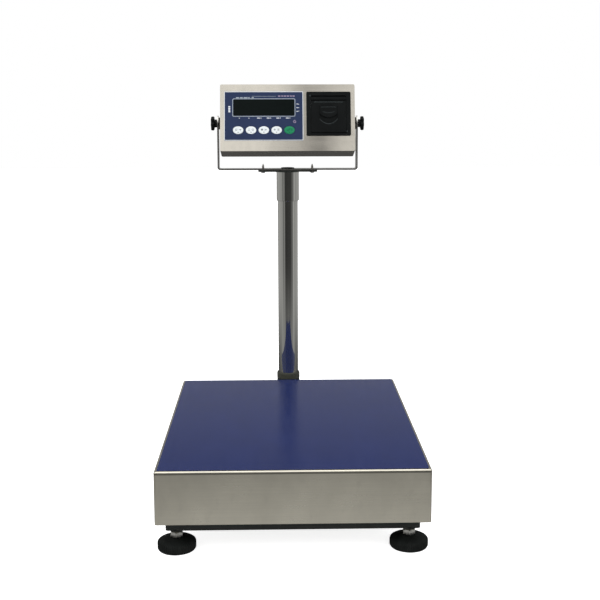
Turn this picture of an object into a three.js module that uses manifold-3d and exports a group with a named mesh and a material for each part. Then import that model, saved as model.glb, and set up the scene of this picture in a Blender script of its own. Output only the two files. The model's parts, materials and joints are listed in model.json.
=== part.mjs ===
// Bench scale with a printing weight indicator on a pole.
// Millimetres, +Z up, the front faces -Y, and the origin is the middle of the footprint on the floor.

import * as THREE from "three";
import { mergeVertices } from "three/addons/utils/BufferGeometryUtils.js";
import Module from "manifold-3d";

const wasm = await Module();
wasm.setup();

// ---------------------------------------------------------------- driving dimensions

const GAP = 0.3; // clearance between pieces that touch

const PLATTER = { width: 400, depth: 500, skirt: 80, top: 128, sheet: 1.5, film: 0.5, y: -47 };
const FRAME = { width: 372, depth: 472, tube: 30, wall: 3, bottom: 33, beam: 40 };
const CELL = { length: 150, width: 40, height: 24, bottom: 67.3, end: 40, boltDepth: 14 };
const CELL_EYE = { radius: 8, spread: 16, slot: 4 };
const SPIDER = { bottom: 95, height: 20, rail: 25, railX: 150, length: 360, wall: 2.5 };
const PAD = { radius: 10, spread: 165 };
const FOOT = { inset: 15, radius: 28.5, rim: 15, cone: 19.2, floor: 6, bore: 4.8 };
const STUD = { spigot: 4, hex: 17, hexTop: 27, radius: 5, top: 55 };
const FRAME_BOSS = { collar: 14.5, radius: 9, bore: 5.5, drop: 3 };
const POLE = { y: 233, radius: 19, bore: 19.4, wall: 1.5, bottom: 33, top: 514 };
const SOCKET = { radius: 21.5, top: 125, plate: 5, plateWidth: 90 };
const COLLAR = { radius: 21.8, top: 137 };
const SLEEVE = { radius: 21.3, bottom: 467, top: 521.5, screw: 22 };
const SUPPORT = { width: 110, depth: 44, corner: 3 };
const YOKE = { half: 130.5, depth: 28, sheet: 2.5, bend: 5, bottom: 524.6, screwX: 46, screwHole: 2.9 };
const CABLE_HOLE = 10.8;
const GROMMET = { bore: 7.5, neck: 10.3, lip: 12.8, lipHeight: 1.6 };
const PIVOT_Z = 611;
const TILT = THREE.MathUtils.degToRad(15);

// The indicator's own frame has its origin on the pivot and its face at y = FACE.
const FACE = -22;
const SHELL = { width: 249, height: 125.6, depth: 46, wall: 2, z: 5.4, corner: 3 };
const COVER = { width: 228, height: 104.6, depth: 22, flange: 2, screwX: 118, screwZ: 56.3 };
const PANEL = { x0: -117, x1: 29, z0: -38, z1: 54.5, sheet: 0.8 };
const WINDOW = { x: -43.7, z: 24.1, width: 112, height: 30 };
const KEYS = { count: 5, first: -91.1, pitch: 23.6, z: -18.3, a: 9.7, b: 7.2 };
const BOARD = { width: 144, height: 92, z: 8.3 };
const BATTERY = { width: 100, height: 58, x: -50, z: -14, front: -9, back: 31 };
const GLAND = { x: -60, z: -28, radius: 5, bore: 3, body: 6.6, length: 16, hex: 15 };

const PRINTER = { x: 75.7, z: 12.3, bezel: 82, proud: 3.2, bucket: 75, wall: 2, depth: 47, mouthTop: 46 };
const DOOR = { half: 32.2, pivotY: -23.35, pivotZ: -22.3, halfSheet: 1.85, top: 36.4 };
const LATCH = { half: 16.4, top: 25.4, side: 12, foot: 5, thick: 1.8 };
const POCKET = { half: 17, top: 26, side: 4, foot: -7 };
const TEAR_BAR = { teeth: 16, low: 37.9, root: 38.6, top: 44 };
const PLATEN = { y: -14, z: 31, radius: 5, half: 28.5, axle: 2, axleHalf: 32 };
const ROLL = { y: -0.6, z: -4, radius: 18.6, core: 6, half: 28.5 };
const PRINT_HEAD = { half: 27, z0: 30, z1: 40, front: -8.4, back: -2 };

const BOLT = { radius: 4, hole: 4.5, hex: 13, thick: 5.3, cellLower: 20, cellUpper: 18, pole: 46 };
const WASHER = { radius: 11, thick: 2.9 };
const KNOB = { hub: 7.35, hubLength: 5.4, radius: 12, lobe: 1.5, lobes: 6, height: 6.6, stud: 14 };

// ---------------------------------------------------------------- solids

function toSolid(geometry) {
  const bare = geometry.index ? geometry.toNonIndexed() : geometry.clone();
  bare.deleteAttribute("normal");
  bare.deleteAttribute("uv");
  const merged = mergeVertices(bare, 1e-4);
  return new wasm.Manifold(
    new wasm.Mesh({
      numProp: 3,
      vertProperties: merged.attributes.position.array,
      triVerts: new Uint32Array(merged.index.array),
    }),
  );
}

function toGeometry(solid) {
  const mesh = solid.getMesh();
  const geometry = new THREE.BufferGeometry();
  geometry.setAttribute("position", new THREE.BufferAttribute(mesh.vertProperties, 3));
  geometry.setIndex(new THREE.BufferAttribute(mesh.triVerts, 1));
  geometry.computeVertexNormals();
  return geometry;
}

function join(...geometries) {
  return toGeometry(geometries.map(toSolid).reduce((whole, next) => whole.add(next)));
}

function cut(body, ...tools) {
  return toGeometry(tools.map(toSolid).reduce((rest, tool) => rest.subtract(tool), toSolid(body)));
}

function common(a, b) {
  return toGeometry(toSolid(a).intersect(toSolid(b)));
}

// A block between two corners.
function block(x0, x1, y0, y1, z0, z1) {
  const box = new THREE.BoxGeometry(x1 - x0, y1 - y0, z1 - z0);
  return box.translate((x0 + x1) / 2, (y0 + y1) / 2, (z0 + z1) / 2);
}

// A solid of revolution about Z. The profile is a list of [radius, z], from its lowest point up.
function turned(profile, segments = 20) {
  const points = profile.map(([radius, z]) => new THREE.Vector2(radius, z));
  return new THREE.LatheGeometry(points, segments).rotateX(Math.PI / 2);
}

function rod(radius, z0, z1, segments = 16) {
  return turned([[0, z0], [radius, z0], [radius, z1], [0, z1]], segments);
}

function tube(outer, inner, z0, z1, segments = 24) {
  return turned([[inner, z0], [outer, z0], [outer, z1], [inner, z1], [inner, z0]], segments);
}

// Turns a solid that was made about Z so that its +Z points along +X or +Y.
function alongX(geometry) {
  return geometry.rotateY(Math.PI / 2);
}

function alongY(geometry) {
  return geometry.rotateX(-Math.PI / 2);
}

function extrude(shape, depth, curveSegments = 3) {
  return new THREE.ExtrudeGeometry(shape, { depth, curveSegments, bevelEnabled: false });
}

// A shape in X and Z, as a plate from y0 to y1.
function plateXZ(shape, y0, y1, curveSegments) {
  return extrude(shape, y1 - y0, curveSegments).rotateX(Math.PI / 2).translate(0, y1, 0);
}

// A shape in Y and Z, as a plate from x0 to x1.
function plateYZ(shape, x0, x1, curveSegments) {
  const toX = new THREE.Matrix4().set(0, 0, 1, 0, 1, 0, 0, 0, 0, 1, 0, 0, 0, 0, 0, 1);
  return extrude(shape, x1 - x0, curveSegments).applyMatrix4(toX).translate(x0, 0, 0);
}

function roundedRectangle(width, height, radius, x = 0, y = 0) {
  const shape = new THREE.Shape();
  const w = width / 2 - radius;
  const h = height / 2 - radius;
  shape.absarc(x + w, y - h, radius, -Math.PI / 2, 0);
  shape.absarc(x + w, y + h, radius, 0, Math.PI / 2);
  shape.absarc(x - w, y + h, radius, Math.PI / 2, Math.PI);
  shape.absarc(x - w, y - h, radius, Math.PI, Math.PI * 1.5);
  return shape;
}

function polygon(points) {
  return new THREE.Shape(points.map(([x, y]) => new THREE.Vector2(x, y)));
}

function ellipse(a, b, x = 0, y = 0) {
  return new THREE.Shape().absellipse(x, y, a, b, 0, Math.PI * 2);
}

// A hexagonal prism about Z, measured across its flats.
function hexagon(acrossFlats, z0, z1) {
  return rod(acrossFlats / Math.sqrt(3), z0, z1, 6);
}

// ---------------------------------------------------------------- materials

function material(color, roughness, metalness) {
  return new THREE.MeshStandardMaterial({ color, roughness, metalness });
}

const MATERIALS = {
  brushed: material(0xb3aea2, 0.35, 1),
  film: material(0x28365e, 0.25, 0),
  blackPaint: material(0x17181a, 0.45, 0.2),
  chrome: material(0xc9ccce, 0.12, 1),
  zinc: material(0xb9bcc0, 0.35, 1),
  rubber: material(0x1c1c1d, 0.8, 0),
  blackPlastic: material(0x1d1e20, 0.55, 0),
  aluminium: material(0xb6b9bc, 0.4, 1),
  panel: material(0x33457c, 0.4, 0),
  glass: material(0x0d1210, 0.12, 0),
  whiteKey: material(0xe4e6e8, 0.45, 0),
  greenKey: material(0x189a4a, 0.45, 0),
  board: material(0x1f5a37, 0.5, 0),
  paper: material(0xf2f0ea, 0.9, 0),
  battery: material(0x3a3d42, 0.6, 0),
};

function piece(name, geometry, look) {
  const mesh = new THREE.Mesh(geometry, MATERIALS[look]);
  mesh.name = name;
  return mesh;
}

// ---------------------------------------------------------------- base frame, cell and feet

const FRAME_TOP = FRAME.bottom + FRAME.tube;
const CELL_REAR_Y = PLATTER.y + CELL.length / 2 - CELL.end / 2;
const CELL_FRONT_Y = PLATTER.y - CELL.length / 2 + CELL.end / 2;
const CELL_TOP = CELL.bottom + CELL.height;
const BOLT_SPREAD = 9; // half the distance between the two bolts at a cell's end

const CORNERS = [
  [-1, -1],
  [1, -1],
  [1, 1],
  [-1, 1],
];

function footPlace([sideX, sideY]) {
  const x = sideX * (FRAME.width / 2 - FOOT.inset);
  const y = PLATTER.y + sideY * (FRAME.depth / 2 - FOOT.inset);
  return [x, y];
}

// A ring of folded channel that is open inwards.
function frameRing() {
  const w = FRAME.width;
  const d = FRAME.depth;
  const ring = roundedRectangle(w, d, 4);
  ring.holes.push(roundedRectangle(w - 2 * FRAME.tube, d - 2 * FRAME.tube, 2));
  const hollow = extrude(
    roundedRectangle(w - 2 * FRAME.wall, d - 2 * FRAME.wall, 2),
    FRAME.tube - 2 * FRAME.wall,
  ).translate(0, 0, FRAME.wall);
  return cut(extrude(ring, FRAME.tube), hollow).translate(0, PLATTER.y, FRAME.bottom);
}

// The cross beam that carries the cell's fixed end: a channel that is open downwards.
function frameBeam() {
  const half = FRAME.width / 2 - FRAME.wall / 2;
  const b = FRAME.beam / 2;
  const low = FRAME.bottom + FRAME.wall / 2;
  const beam = block(-half, half, CELL_REAR_Y - b, CELL_REAR_Y + b, low, FRAME_TOP);
  const inside = block(
    -half + FRAME.tube - 10,
    half - FRAME.tube + 10,
    CELL_REAR_Y - b + FRAME.wall,
    CELL_REAR_Y + b - FRAME.wall,
    low - 1,
    FRAME_TOP - FRAME.wall,
  );
  const s = CELL.width / 2;
  const seat = block(-s, s, CELL_REAR_Y - b, CELL_REAR_Y + b, FRAME_TOP - 1, CELL.bottom - GAP);
  return join(cut(beam, inside), seat);
}

// A nut boss for a foot's stud, with a dished collar under the channel.
function frameBoss(corner) {
  const [x, y] = footPlace(corner);
  const { collar, radius, drop } = FRAME_BOSS;
  const profile = [
    [0, FRAME.bottom - drop],
    [radius + 1, FRAME.bottom - drop],
    [collar, FRAME.bottom],
    [collar, FRAME.bottom + 2],
    [radius, FRAME.bottom + 2.5],
    [radius, FRAME_TOP - 1],
    [0, FRAME_TOP - 1],
  ];
  return turned(profile, 16).translate(x, y, 0);
}

function footBore(corner) {
  const [x, y] = footPlace(corner);
  return rod(FRAME_BOSS.bore, FRAME.bottom - 5, FRAME_TOP - FRAME.wall, 12).translate(x, y, 0);
}

function boltHoles(y, z0, z1) {
  return [-1, 1].map((side) => rod(BOLT.hole, z0, z1).translate(0, y + side * BOLT_SPREAD, 0));
}

function baseFrame() {
  const welded = join(frameRing(), frameBeam(), ...CORNERS.map(frameBoss));
  return cut(
    welded,
    ...CORNERS.map(footBore),
    ...boltHoles(CELL_REAR_Y, FRAME.bottom, CELL.bottom),
  );
}

// A bending-beam cell: its two round holes joined by a slot make it soft in the middle.
function loadCell() {
  const body = block(
    -CELL.width / 2,
    CELL.width / 2,
    PLATTER.y - CELL.length / 2,
    PLATTER.y + CELL.length / 2,
    CELL.bottom,
    CELL_TOP,
  );
  const middle = CELL.bottom + CELL.height / 2;
  const half = CELL.width / 2 + 1;
  const eyes = [-1, 1].map((side) =>
    alongX(rod(CELL_EYE.radius, -half, half, 20)).translate(0, PLATTER.y + side * CELL_EYE.spread, middle),
  );
  const slot = block(
    -half,
    half,
    PLATTER.y - CELL_EYE.spread,
    PLATTER.y + CELL_EYE.spread,
    middle - CELL_EYE.slot / 2,
    middle + CELL_EYE.slot / 2,
  );
  return cut(
    body,
    ...eyes,
    slot,
    ...boltHoles(CELL_REAR_Y, CELL.bottom - 1, CELL.bottom + CELL.boltDepth),
    ...boltHoles(CELL_FRONT_Y, CELL_TOP - CELL.boltDepth, CELL_TOP + 1),
  );
}

// A hexagon bolt whose head sits under z = 0 and whose shank points up.
function bolt(length) {
  return join(hexagon(BOLT.hex, -BOLT.thick, 0), rod(BOLT.radius, -1, length));
}

// The spider under the platter: two rails on a cross beam that the cell's free end carries.
function topFrame() {
  const { bottom, height, rail, railX, length, wall } = SPIDER;
  const top = bottom + height;
  const rails = [-1, 1].map((side) => {
    const x = side * railX;
    const y0 = PLATTER.y - length / 2;
    const y1 = PLATTER.y + length / 2;
    const whole = block(x - rail / 2, x + rail / 2, y0, y1, bottom, top);
    const inside = block(
      x - rail / 2 + wall,
      x + rail / 2 - wall,
      y0 + wall,
      y1 - wall,
      bottom - 1,
      top - wall,
    );
    return cut(whole, inside);
  });
  const b = CELL.end / 2;
  const half = railX - rail / 2 + 1;
  const beam = cut(
    block(-half, half, CELL_FRONT_Y - b, CELL_FRONT_Y + b, bottom, top),
    block(-half + 6, half - 6, CELL_FRONT_Y - b + wall, CELL_FRONT_Y + b - wall, bottom + wall, top + 1),
  );
  const s = CELL.width / 2;
  const seat = block(-s, s, CELL_FRONT_Y - b, CELL_FRONT_Y + b, CELL_TOP + GAP, bottom + 1);
  return cut(join(...rails, beam, seat), ...boltHoles(CELL_FRONT_Y, CELL_TOP, bottom + wall + 1));
}

function rubberPad() {
  const low = SPIDER.bottom + SPIDER.height + GAP;
  const high = PLATTER.top - PLATTER.film - GAP - PLATTER.sheet - GAP;
  return turned([[0, low], [PAD.radius, low], [PAD.radius - 1.5, high], [0, high]], 20);
}

function footPad() {
  const profile = [
    [0, 0],
    [FOOT.radius - 1.5, 0],
    [FOOT.radius, 1.5],
    [FOOT.radius, FOOT.rim - 1],
    [FOOT.radius - 1, FOOT.rim],
    [11, FOOT.cone],
    [FOOT.bore, FOOT.cone],
    [FOOT.bore, FOOT.floor],
    [0, FOOT.floor],
  ];
  return turned(profile, 28);
}

function footStud() {
  const spigot = rod(STUD.spigot, FOOT.floor + GAP, FOOT.cone + GAP + 1, 12);
  const hex = hexagon(STUD.hex, FOOT.cone + GAP, STUD.hexTop);
  const shank = rod(STUD.radius, STUD.hexTop - 1, STUD.top, 12);
  return join(spigot, hex, shank);
}

function addBase(root) {
  root.add(piece("base_frame", baseFrame(), "blackPaint"));
  root.add(piece("load_cell", loadCell(), "aluminium"));
  root.add(piece("top_frame", topFrame(), "blackPaint"));
  for (const [index, side] of [-1, 1].entries()) {
    const lower = piece(`cell_bolt_lower_${index + 1}`, bolt(BOLT.cellLower), "zinc");
    lower.position.set(0, CELL_REAR_Y + side * BOLT_SPREAD, FRAME_TOP - FRAME.wall - GAP);
    const upper = piece(`cell_bolt_upper_${index + 1}`, bolt(BOLT.cellUpper), "zinc");
    upper.rotation.x = Math.PI;
    upper.position.set(0, CELL_FRONT_Y + side * BOLT_SPREAD, SPIDER.bottom + SPIDER.wall + GAP);
    root.add(lower, upper);
  }
  for (const [index, corner] of CORNERS.entries()) {
    const [x, y] = footPlace(corner);
    const pad = piece(`foot_pad_${index + 1}`, footPad(), "rubber");
    const stud = piece(`foot_stud_${index + 1}`, footStud(), "zinc");
    pad.position.set(x, y, 0);
    stud.position.set(x, y, 0);
    root.add(pad, stud);
  }
}

// ---------------------------------------------------------------- platter

// A folded pan: a deck with four skirts and a small bend round its edge.
function platterPan() {
  const { width, depth, skirt, sheet } = PLATTER;
  const bend = 2.5;
  const outer = new THREE.ExtrudeGeometry(roundedRectangle(width - 2 * bend, depth - 2 * bend, 1.5), {
    depth: skirt,
    curveSegments: 4,
    bevelSize: bend,
    bevelThickness: bend,
    bevelSegments: 4,
  });
  const panTop = PLATTER.top - PLATTER.film - GAP;
  const shell = common(
    outer.translate(0, 0, -skirt - bend),
    block(-width, width, -depth, depth, -skirt, 1),
  );
  const inside = extrude(
    roundedRectangle(width - 2 * sheet, depth - 2 * sheet, 2.5),
    skirt + 5,
  ).translate(0, 0, -skirt - 5 - sheet);
  return cut(shell, inside).translate(0, PLATTER.y, panTop);
}

function deckFilm() {
  const shape = roundedRectangle(PLATTER.width - 8, PLATTER.depth - 8, 3);
  return extrude(shape, PLATTER.film).translate(0, PLATTER.y, PLATTER.top - PLATTER.film);
}

function addPlatter(root) {
  for (const [index, [sideX, sideY]] of CORNERS.entries()) {
    const pad = piece(`platter_pad_${index + 1}`, rubberPad(), "rubber");
    pad.position.set(sideX * SPIDER.railX, PLATTER.y + sideY * PAD.spread, 0);
    root.add(pad);
  }
  root.add(piece("platter_pan", platterPan(), "brushed"));
  root.add(piece("deck_film", deckFilm(), "film"));
}

// ---------------------------------------------------------------- pole

const POLE_BOLT_HEIGHTS = [60, 98];

// A plate under the rear channel with the socket that holds the pole.
function poleBracket() {
  const plateTop = FRAME.bottom - GAP;
  const rear = PLATTER.y + FRAME.depth / 2;
  const margin = 26; // how far the plate runs past the pole and past the channel
  const plate = extrude(
    roundedRectangle(SOCKET.plateWidth, POLE.y - rear + 2 * margin, 8, 0, (POLE.y + rear) / 2),
    SOCKET.plate,
  ).translate(0, 0, plateTop - SOCKET.plate);
  const socket = rod(SOCKET.radius, plateTop - 1, SOCKET.top, 32).translate(0, POLE.y, 0);
  const bore = rod(POLE.bore, plateTop, SOCKET.top + 1, 32).translate(0, POLE.y, 0);
  const crossHoles = POLE_BOLT_HEIGHTS.map((z) =>
    alongY(rod(BOLT.hole, -30, 30)).translate(0, POLE.y, z),
  );
  return cut(join(plate, socket), bore, ...crossHoles);
}

function poleTube() {
  const wall = tube(POLE.radius, POLE.radius - POLE.wall, POLE.bottom, POLE.top, 32);
  const crossHoles = POLE_BOLT_HEIGHTS.map((z) => alongY(rod(BOLT.hole, -30, 30)).translate(0, 0, z));
  return cut(wall, ...crossHoles);
}

function poleCollar() {
  const low = SOCKET.top + GAP;
  const profile = [
    [POLE.bore, low],
    [COLLAR.radius, low],
    [COLLAR.radius, COLLAR.top - 1.5],
    [COLLAR.radius - 1.2, COLLAR.top],
    [POLE.bore, COLLAR.top],
    [POLE.bore, low],
  ];
  return turned(profile, 32);
}

function headSleeve() {
  const profile = [
    [POLE.bore, SLEEVE.bottom],
    [SLEEVE.radius - 0.6, SLEEVE.bottom],
    [SLEEVE.radius, SLEEVE.bottom + 1],
    [SLEEVE.radius, SLEEVE.top],
    [POLE.bore, SLEEVE.top],
    [POLE.bore, SLEEVE.bottom],
  ];
  const screwHole = alongY(rod(3.3, 10, 30, 16)).translate(0, 0, SLEEVE.bottom + SLEEVE.screw);
  return cut(turned(profile, 32), screwHole);
}

function sleeveScrew() {
  const shank = rod(2.8, POLE.radius + GAP, SLEEVE.radius + 2, 16);
  const head = hexagon(10, SLEEVE.radius + GAP, SLEEVE.radius + 5);
  return alongY(join(shank, head));
}

// The cable hole and two screw holes that go through both the support plate and the strip.
function plateHoles(z0, z1) {
  const cableHole = rod(CABLE_HOLE, z0, z1, 20);
  const screwHoles = [-1, 1].map((side) =>
    rod(YOKE.screwHole, z0, z1, 16).translate(side * YOKE.screwX, 0, 0),
  );
  return [cableHole, ...screwHoles];
}

function supportPlate() {
  const shape = roundedRectangle(SUPPORT.width, SUPPORT.depth, SUPPORT.corner);
  const low = SLEEVE.top + GAP;
  const high = YOKE.bottom - GAP;
  const plate = extrude(shape, high - low).translate(0, 0, low);
  return cut(plate, ...plateHoles(low - 1, high + 1));
}

function addPole(root) {
  const column = new THREE.Group();
  column.position.y = POLE.y;
  root.add(piece("pole_bracket", poleBracket(), "blackPaint"), column);
  column.add(piece("pole", poleTube(), "chrome"));
  column.add(piece("pole_collar", poleCollar(), "blackPlastic"));
  for (const [index, z] of POLE_BOLT_HEIGHTS.entries()) {
    const cross = piece(`pole_bolt_${index + 1}`, bolt(BOLT.pole), "zinc");
    cross.rotation.x = Math.PI / 2;
    cross.position.set(0, SOCKET.radius + GAP, z);
    column.add(cross);
  }
  column.add(piece("head_sleeve", headSleeve(), "chrome"));
  const screw = piece("sleeve_screw", sleeveScrew(), "zinc");
  screw.position.z = SLEEVE.bottom + SLEEVE.screw;
  column.add(screw);
  column.add(piece("support_plate", supportPlate(), "blackPaint"));
}

// ---------------------------------------------------------------- yoke

// One strip bent into a U, with round tops on its arms.
function yokeStrip() {
  const { half, depth, sheet, bend, bottom } = YOKE;
  const round = depth / 2;
  const blank = PIVOT_Z - bottom + depth + 2 * bend;
  const middle = bottom + blank / 2;
  const outer = roundedRectangle(2 * half, blank, bend, 0, middle);
  const hollow = roundedRectangle(2 * (half - sheet), blank, bend - sheet, 0, middle + sheet);
  const strip = cut(plateXZ(outer, -round, round, 5), plateXZ(hollow, -depth, depth, 5));
  const side = new THREE.Shape();
  side.moveTo(-round, bottom - 1);
  side.lineTo(round, bottom - 1);
  side.absarc(0, PIVOT_Z, round, 0, Math.PI);
  const trimmed = common(strip, plateYZ(side, -half - 1, half + 1, 12));
  const pivotHole = alongX(rod(BOLT.hole, -half - 1, half + 1)).translate(0, 0, PIVOT_Z);
  return cut(trimmed, pivotHole, ...plateHoles(bottom - 1, bottom + sheet + 1));
}

// A self-tapping screw: pan head below z = 0, point up.
function tappingScrew() {
  const profile = [
    [0, -3],
    [3, -3],
    [4.5, -1.6],
    [4.5, 0],
    [2.4, 0],
    [2.4, 9],
    [0, 14.5],
  ];
  return turned(profile, 16);
}

// A rubber bush that lines the cable hole of the strip and of the plate.
function grommet() {
  const low = SLEEVE.top + GAP;
  const seat = YOKE.bottom + YOKE.sheet + GAP;
  const { bore, neck, lip, lipHeight } = GROMMET;
  const profile = [
    [bore, low],
    [neck, low],
    [neck, seat],
    [lip, seat],
    [lip - 1, seat + lipHeight],
    [bore, seat + lipHeight],
    [bore, low],
  ];
  return turned(profile, 20);
}

function knobOutline() {
  const shape = new THREE.Shape();
  const steps = KNOB.lobes * 4;
  for (let i = 0; i < steps; i++) {
    const angle = (i / steps) * Math.PI * 2;
    const radius = KNOB.radius + KNOB.lobe * Math.cos(KNOB.lobes * angle);
    const x = radius * Math.cos(angle);
    const y = radius * Math.sin(angle);
    if (i === 0) shape.moveTo(x, y);
    else shape.lineTo(x, y);
  }
  return shape;
}

// A star knob with its threaded stud, made about Z with the stud pointing down.
function knob() {
  const hub = rod(KNOB.hub, 0, KNOB.hubLength);
  const star = extrude(knobOutline(), KNOB.height).translate(0, 0, KNOB.hubLength - 0.5);
  const stud = rod(BOLT.radius, -KNOB.stud, 1);
  return join(hub, star, stud);
}

function addYoke(root) {
  const column = new THREE.Group();
  column.position.y = POLE.y;
  root.add(column);
  column.add(piece("yoke", yokeStrip(), "brushed"));
  column.add(piece("yoke_grommet", grommet(), "rubber"));
  for (const [index, side] of [-1, 1].entries()) {
    const screw = piece(`yoke_screw_${index + 1}`, tappingScrew(), "zinc");
    screw.position.set(side * YOKE.screwX, 0, SLEEVE.top);
    const washer = piece(
      `side_washer_${index + 1}`,
      alongX(tube(WASHER.radius, BOLT.hole, 0, WASHER.thick)),
      "rubber",
    );
    const inner = side > 0 ? SHELL.width / 2 + GAP : -SHELL.width / 2 - GAP - WASHER.thick;
    washer.position.set(inner, 0, PIVOT_Z);
    column.add(screw, washer);
  }
}

// ---------------------------------------------------------------- indicator housing

const BACK = FACE + SHELL.depth; // the rear edge of the front shell
const INSIDE_X = SHELL.width / 2 - SHELL.wall;
const COVER_BACK = BACK + GAP + COVER.flange + COVER.depth;
const PIVOT_BOSS_X = 116; // where the threaded boss behind each side wall ends

function eachCorner(make) {
  return CORNERS.map(([sideX, sideZ]) => make(sideX * COVER.screwX, SHELL.z + sideZ * COVER.screwZ));
}

function keyPlace(index) {
  return KEYS.first + index * KEYS.pitch;
}

function keyHoles(clearance, y0, y1) {
  const holes = [];
  for (let i = 0; i < KEYS.count; i++) {
    const hole = ellipse(KEYS.a + clearance, KEYS.b + clearance, keyPlace(i), KEYS.z);
    holes.push(plateXZ(hole, y0, y1, 10));
  }
  return holes;
}

function windowHole(clearance, y0, y1) {
  const shape = roundedRectangle(
    WINDOW.width + 2 * clearance,
    WINDOW.height + 2 * clearance,
    2,
    WINDOW.x,
    WINDOW.z,
  );
  return plateXZ(shape, y0, y1, 3);
}

function frontHousing() {
  const outer = roundedRectangle(SHELL.width, SHELL.height, SHELL.corner, 0, SHELL.z);
  const inner = roundedRectangle(
    SHELL.width - 2 * SHELL.wall,
    SHELL.height - 2 * SHELL.wall,
    1.5,
    0,
    SHELL.z,
  );
  const shell = cut(plateXZ(outer, FACE, BACK, 3), plateXZ(inner, FACE + SHELL.wall, BACK + 1, 3));
  const posts = eachCorner((x, z) =>
    alongY(rod(4.8, FACE + 1, BACK, 16)).translate(x, 0, z),
  );
  const bosses = [
    alongX(rod(9, PIVOT_BOSS_X, INSIDE_X + 1)),
    alongX(rod(9, -INSIDE_X - 1, -PIVOT_BOSS_X)),
  ];
  const standoffs = [PANEL.x0 + 9, PANEL.x1 - 3].flatMap((x) =>
    [PANEL.z0 + 5, PANEL.z1 - 4.5].map((z) => alongY(rod(2.5, FACE + 1, FACE + 3.1, 12)).translate(x, 0, z)),
  );
  const trimmed = common(join(shell, ...posts, ...bosses, ...standoffs), plateXZ(outer, FACE, BACK, 3));
  const screwBores = eachCorner((x, z) =>
    alongY(rod(1.9, BACK - 18, BACK + 1, 12)).translate(x, 0, z),
  );
  const half = PRINTER.bucket / 2 + 1;
  return cut(
    trimmed,
    alongX(rod(BOLT.hole, -SHELL.width, SHELL.width)),
    ...screwBores,
    ...keyHoles(0.5, FACE - 1, FACE + 5),
    windowHole(0.6, FACE - 1, FACE + 5),
    block(PRINTER.x - half, PRINTER.x + half, FACE - 1, FACE + 5, PRINTER.z - half, PRINTER.z + half),
  );
}

function rearCover() {
  const flange = roundedRectangle(SHELL.width, SHELL.height, SHELL.corner, 0, SHELL.z);
  const box = roundedRectangle(COVER.width, COVER.height, 4, 0, SHELL.z);
  const y0 = BACK + GAP;
  const y1 = COVER_BACK;
  const inner = roundedRectangle(
    COVER.width - 2 * SHELL.wall,
    COVER.height - 2 * SHELL.wall,
    2,
    0,
    SHELL.z,
  );
  const whole = join(plateXZ(flange, y0, y0 + COVER.flange, 3), plateXZ(box, y0, y1, 3));
  const screwHoles = eachCorner((x, z) => alongY(rod(2.4, y0 - 1, y0 + 5, 12)).translate(x, 0, z));
  const glandHole = alongY(rod(GLAND.radius + GAP, -5, 5, 16)).translate(GLAND.x, y1, GLAND.z);
  return cut(whole, plateXZ(inner, y0 - 1, y1 - SHELL.wall, 3), glandHole, ...screwHoles);
}

// A pan-head screw made about Z, with its head above z = 0.
function coverScrew() {
  return turned([[0, -15], [1.6, -15], [1.6, 0], [3.4, 0], [3, 1.8], [0, 2.2]], 16);
}

// A cable gland with a clear bore, made about Z with its nut below the wall's face at z = 0.
function cableGland() {
  const wall = SHELL.wall;
  const { radius, bore, body: cap, length } = GLAND;
  const profile = [
    [bore, -length],
    [cap - 1.8, -length],
    [cap, -length + 3],
    [cap, -6],
    [radius, -6],
    [radius - 0.4, -1],
    [radius - 0.4, wall + 5],
    [bore, wall + 5],
    [bore, -length],
  ];
  const body = turned(profile, 16);
  const hex = cut(hexagon(GLAND.hex, -5.5, -GAP), rod(bore, -10, 10));
  return join(body, hex);
}

function keyPanel() {
  const width = PANEL.x1 - PANEL.x0;
  const height = PANEL.z1 - PANEL.z0;
  const middleX = (PANEL.x0 + PANEL.x1) / 2;
  const middleZ = (PANEL.z0 + PANEL.z1) / 2;
  const sheet = plateXZ(
    roundedRectangle(width, height, 1.5, middleX, middleZ),
    FACE - GAP - PANEL.sheet,
    FACE - GAP,
    3,
  );
  return cut(sheet, windowHole(0.3, FACE - 5, FACE + 1), ...keyHoles(0.4, FACE - 5, FACE + 1));
}

function displayWindow() {
  return windowHole(0, FACE - GAP - PANEL.sheet, FACE + 1.6);
}

function displayBoard() {
  const middleX = (PANEL.x0 + PANEL.x1) / 2;
  const outline = roundedRectangle(BOARD.width, BOARD.height, 2, middleX, BOARD.z);
  const board = plateXZ(outline, FACE + 3.4, FACE + 5, 2);
  const display = plateXZ(
    roundedRectangle(WINDOW.width - 6, WINDOW.height - 5, 1, WINDOW.x, WINDOW.z),
    FACE + 1.9,
    FACE + 4,
    2,
  );
  return join(board, display);
}

// A key cap with a shallow dome, standing just proud of the panel.
function keyCap() {
  const dome = 0.8;
  const cap = new THREE.ExtrudeGeometry(ellipse(KEYS.a - dome, KEYS.b - dome), {
    depth: 2.2,
    curveSegments: 10,
    bevelSize: dome,
    bevelThickness: 0.6,
    bevelSegments: 1,
  });
  const bare = common(cap, block(-20, 20, -20, 20, 0, 5));
  return bare.rotateX(Math.PI / 2);
}

function batteryPack() {
  const { width, height, x, z, front, back } = BATTERY;
  return plateXZ(roundedRectangle(width, height, 3, x, z), front, back, 3);
}

// ---------------------------------------------------------------- printer

const PRINTER_FRONT = FACE - GAP - PRINTER.proud;
const PRINTER_BACK = PRINTER_FRONT + PRINTER.depth;

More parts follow.
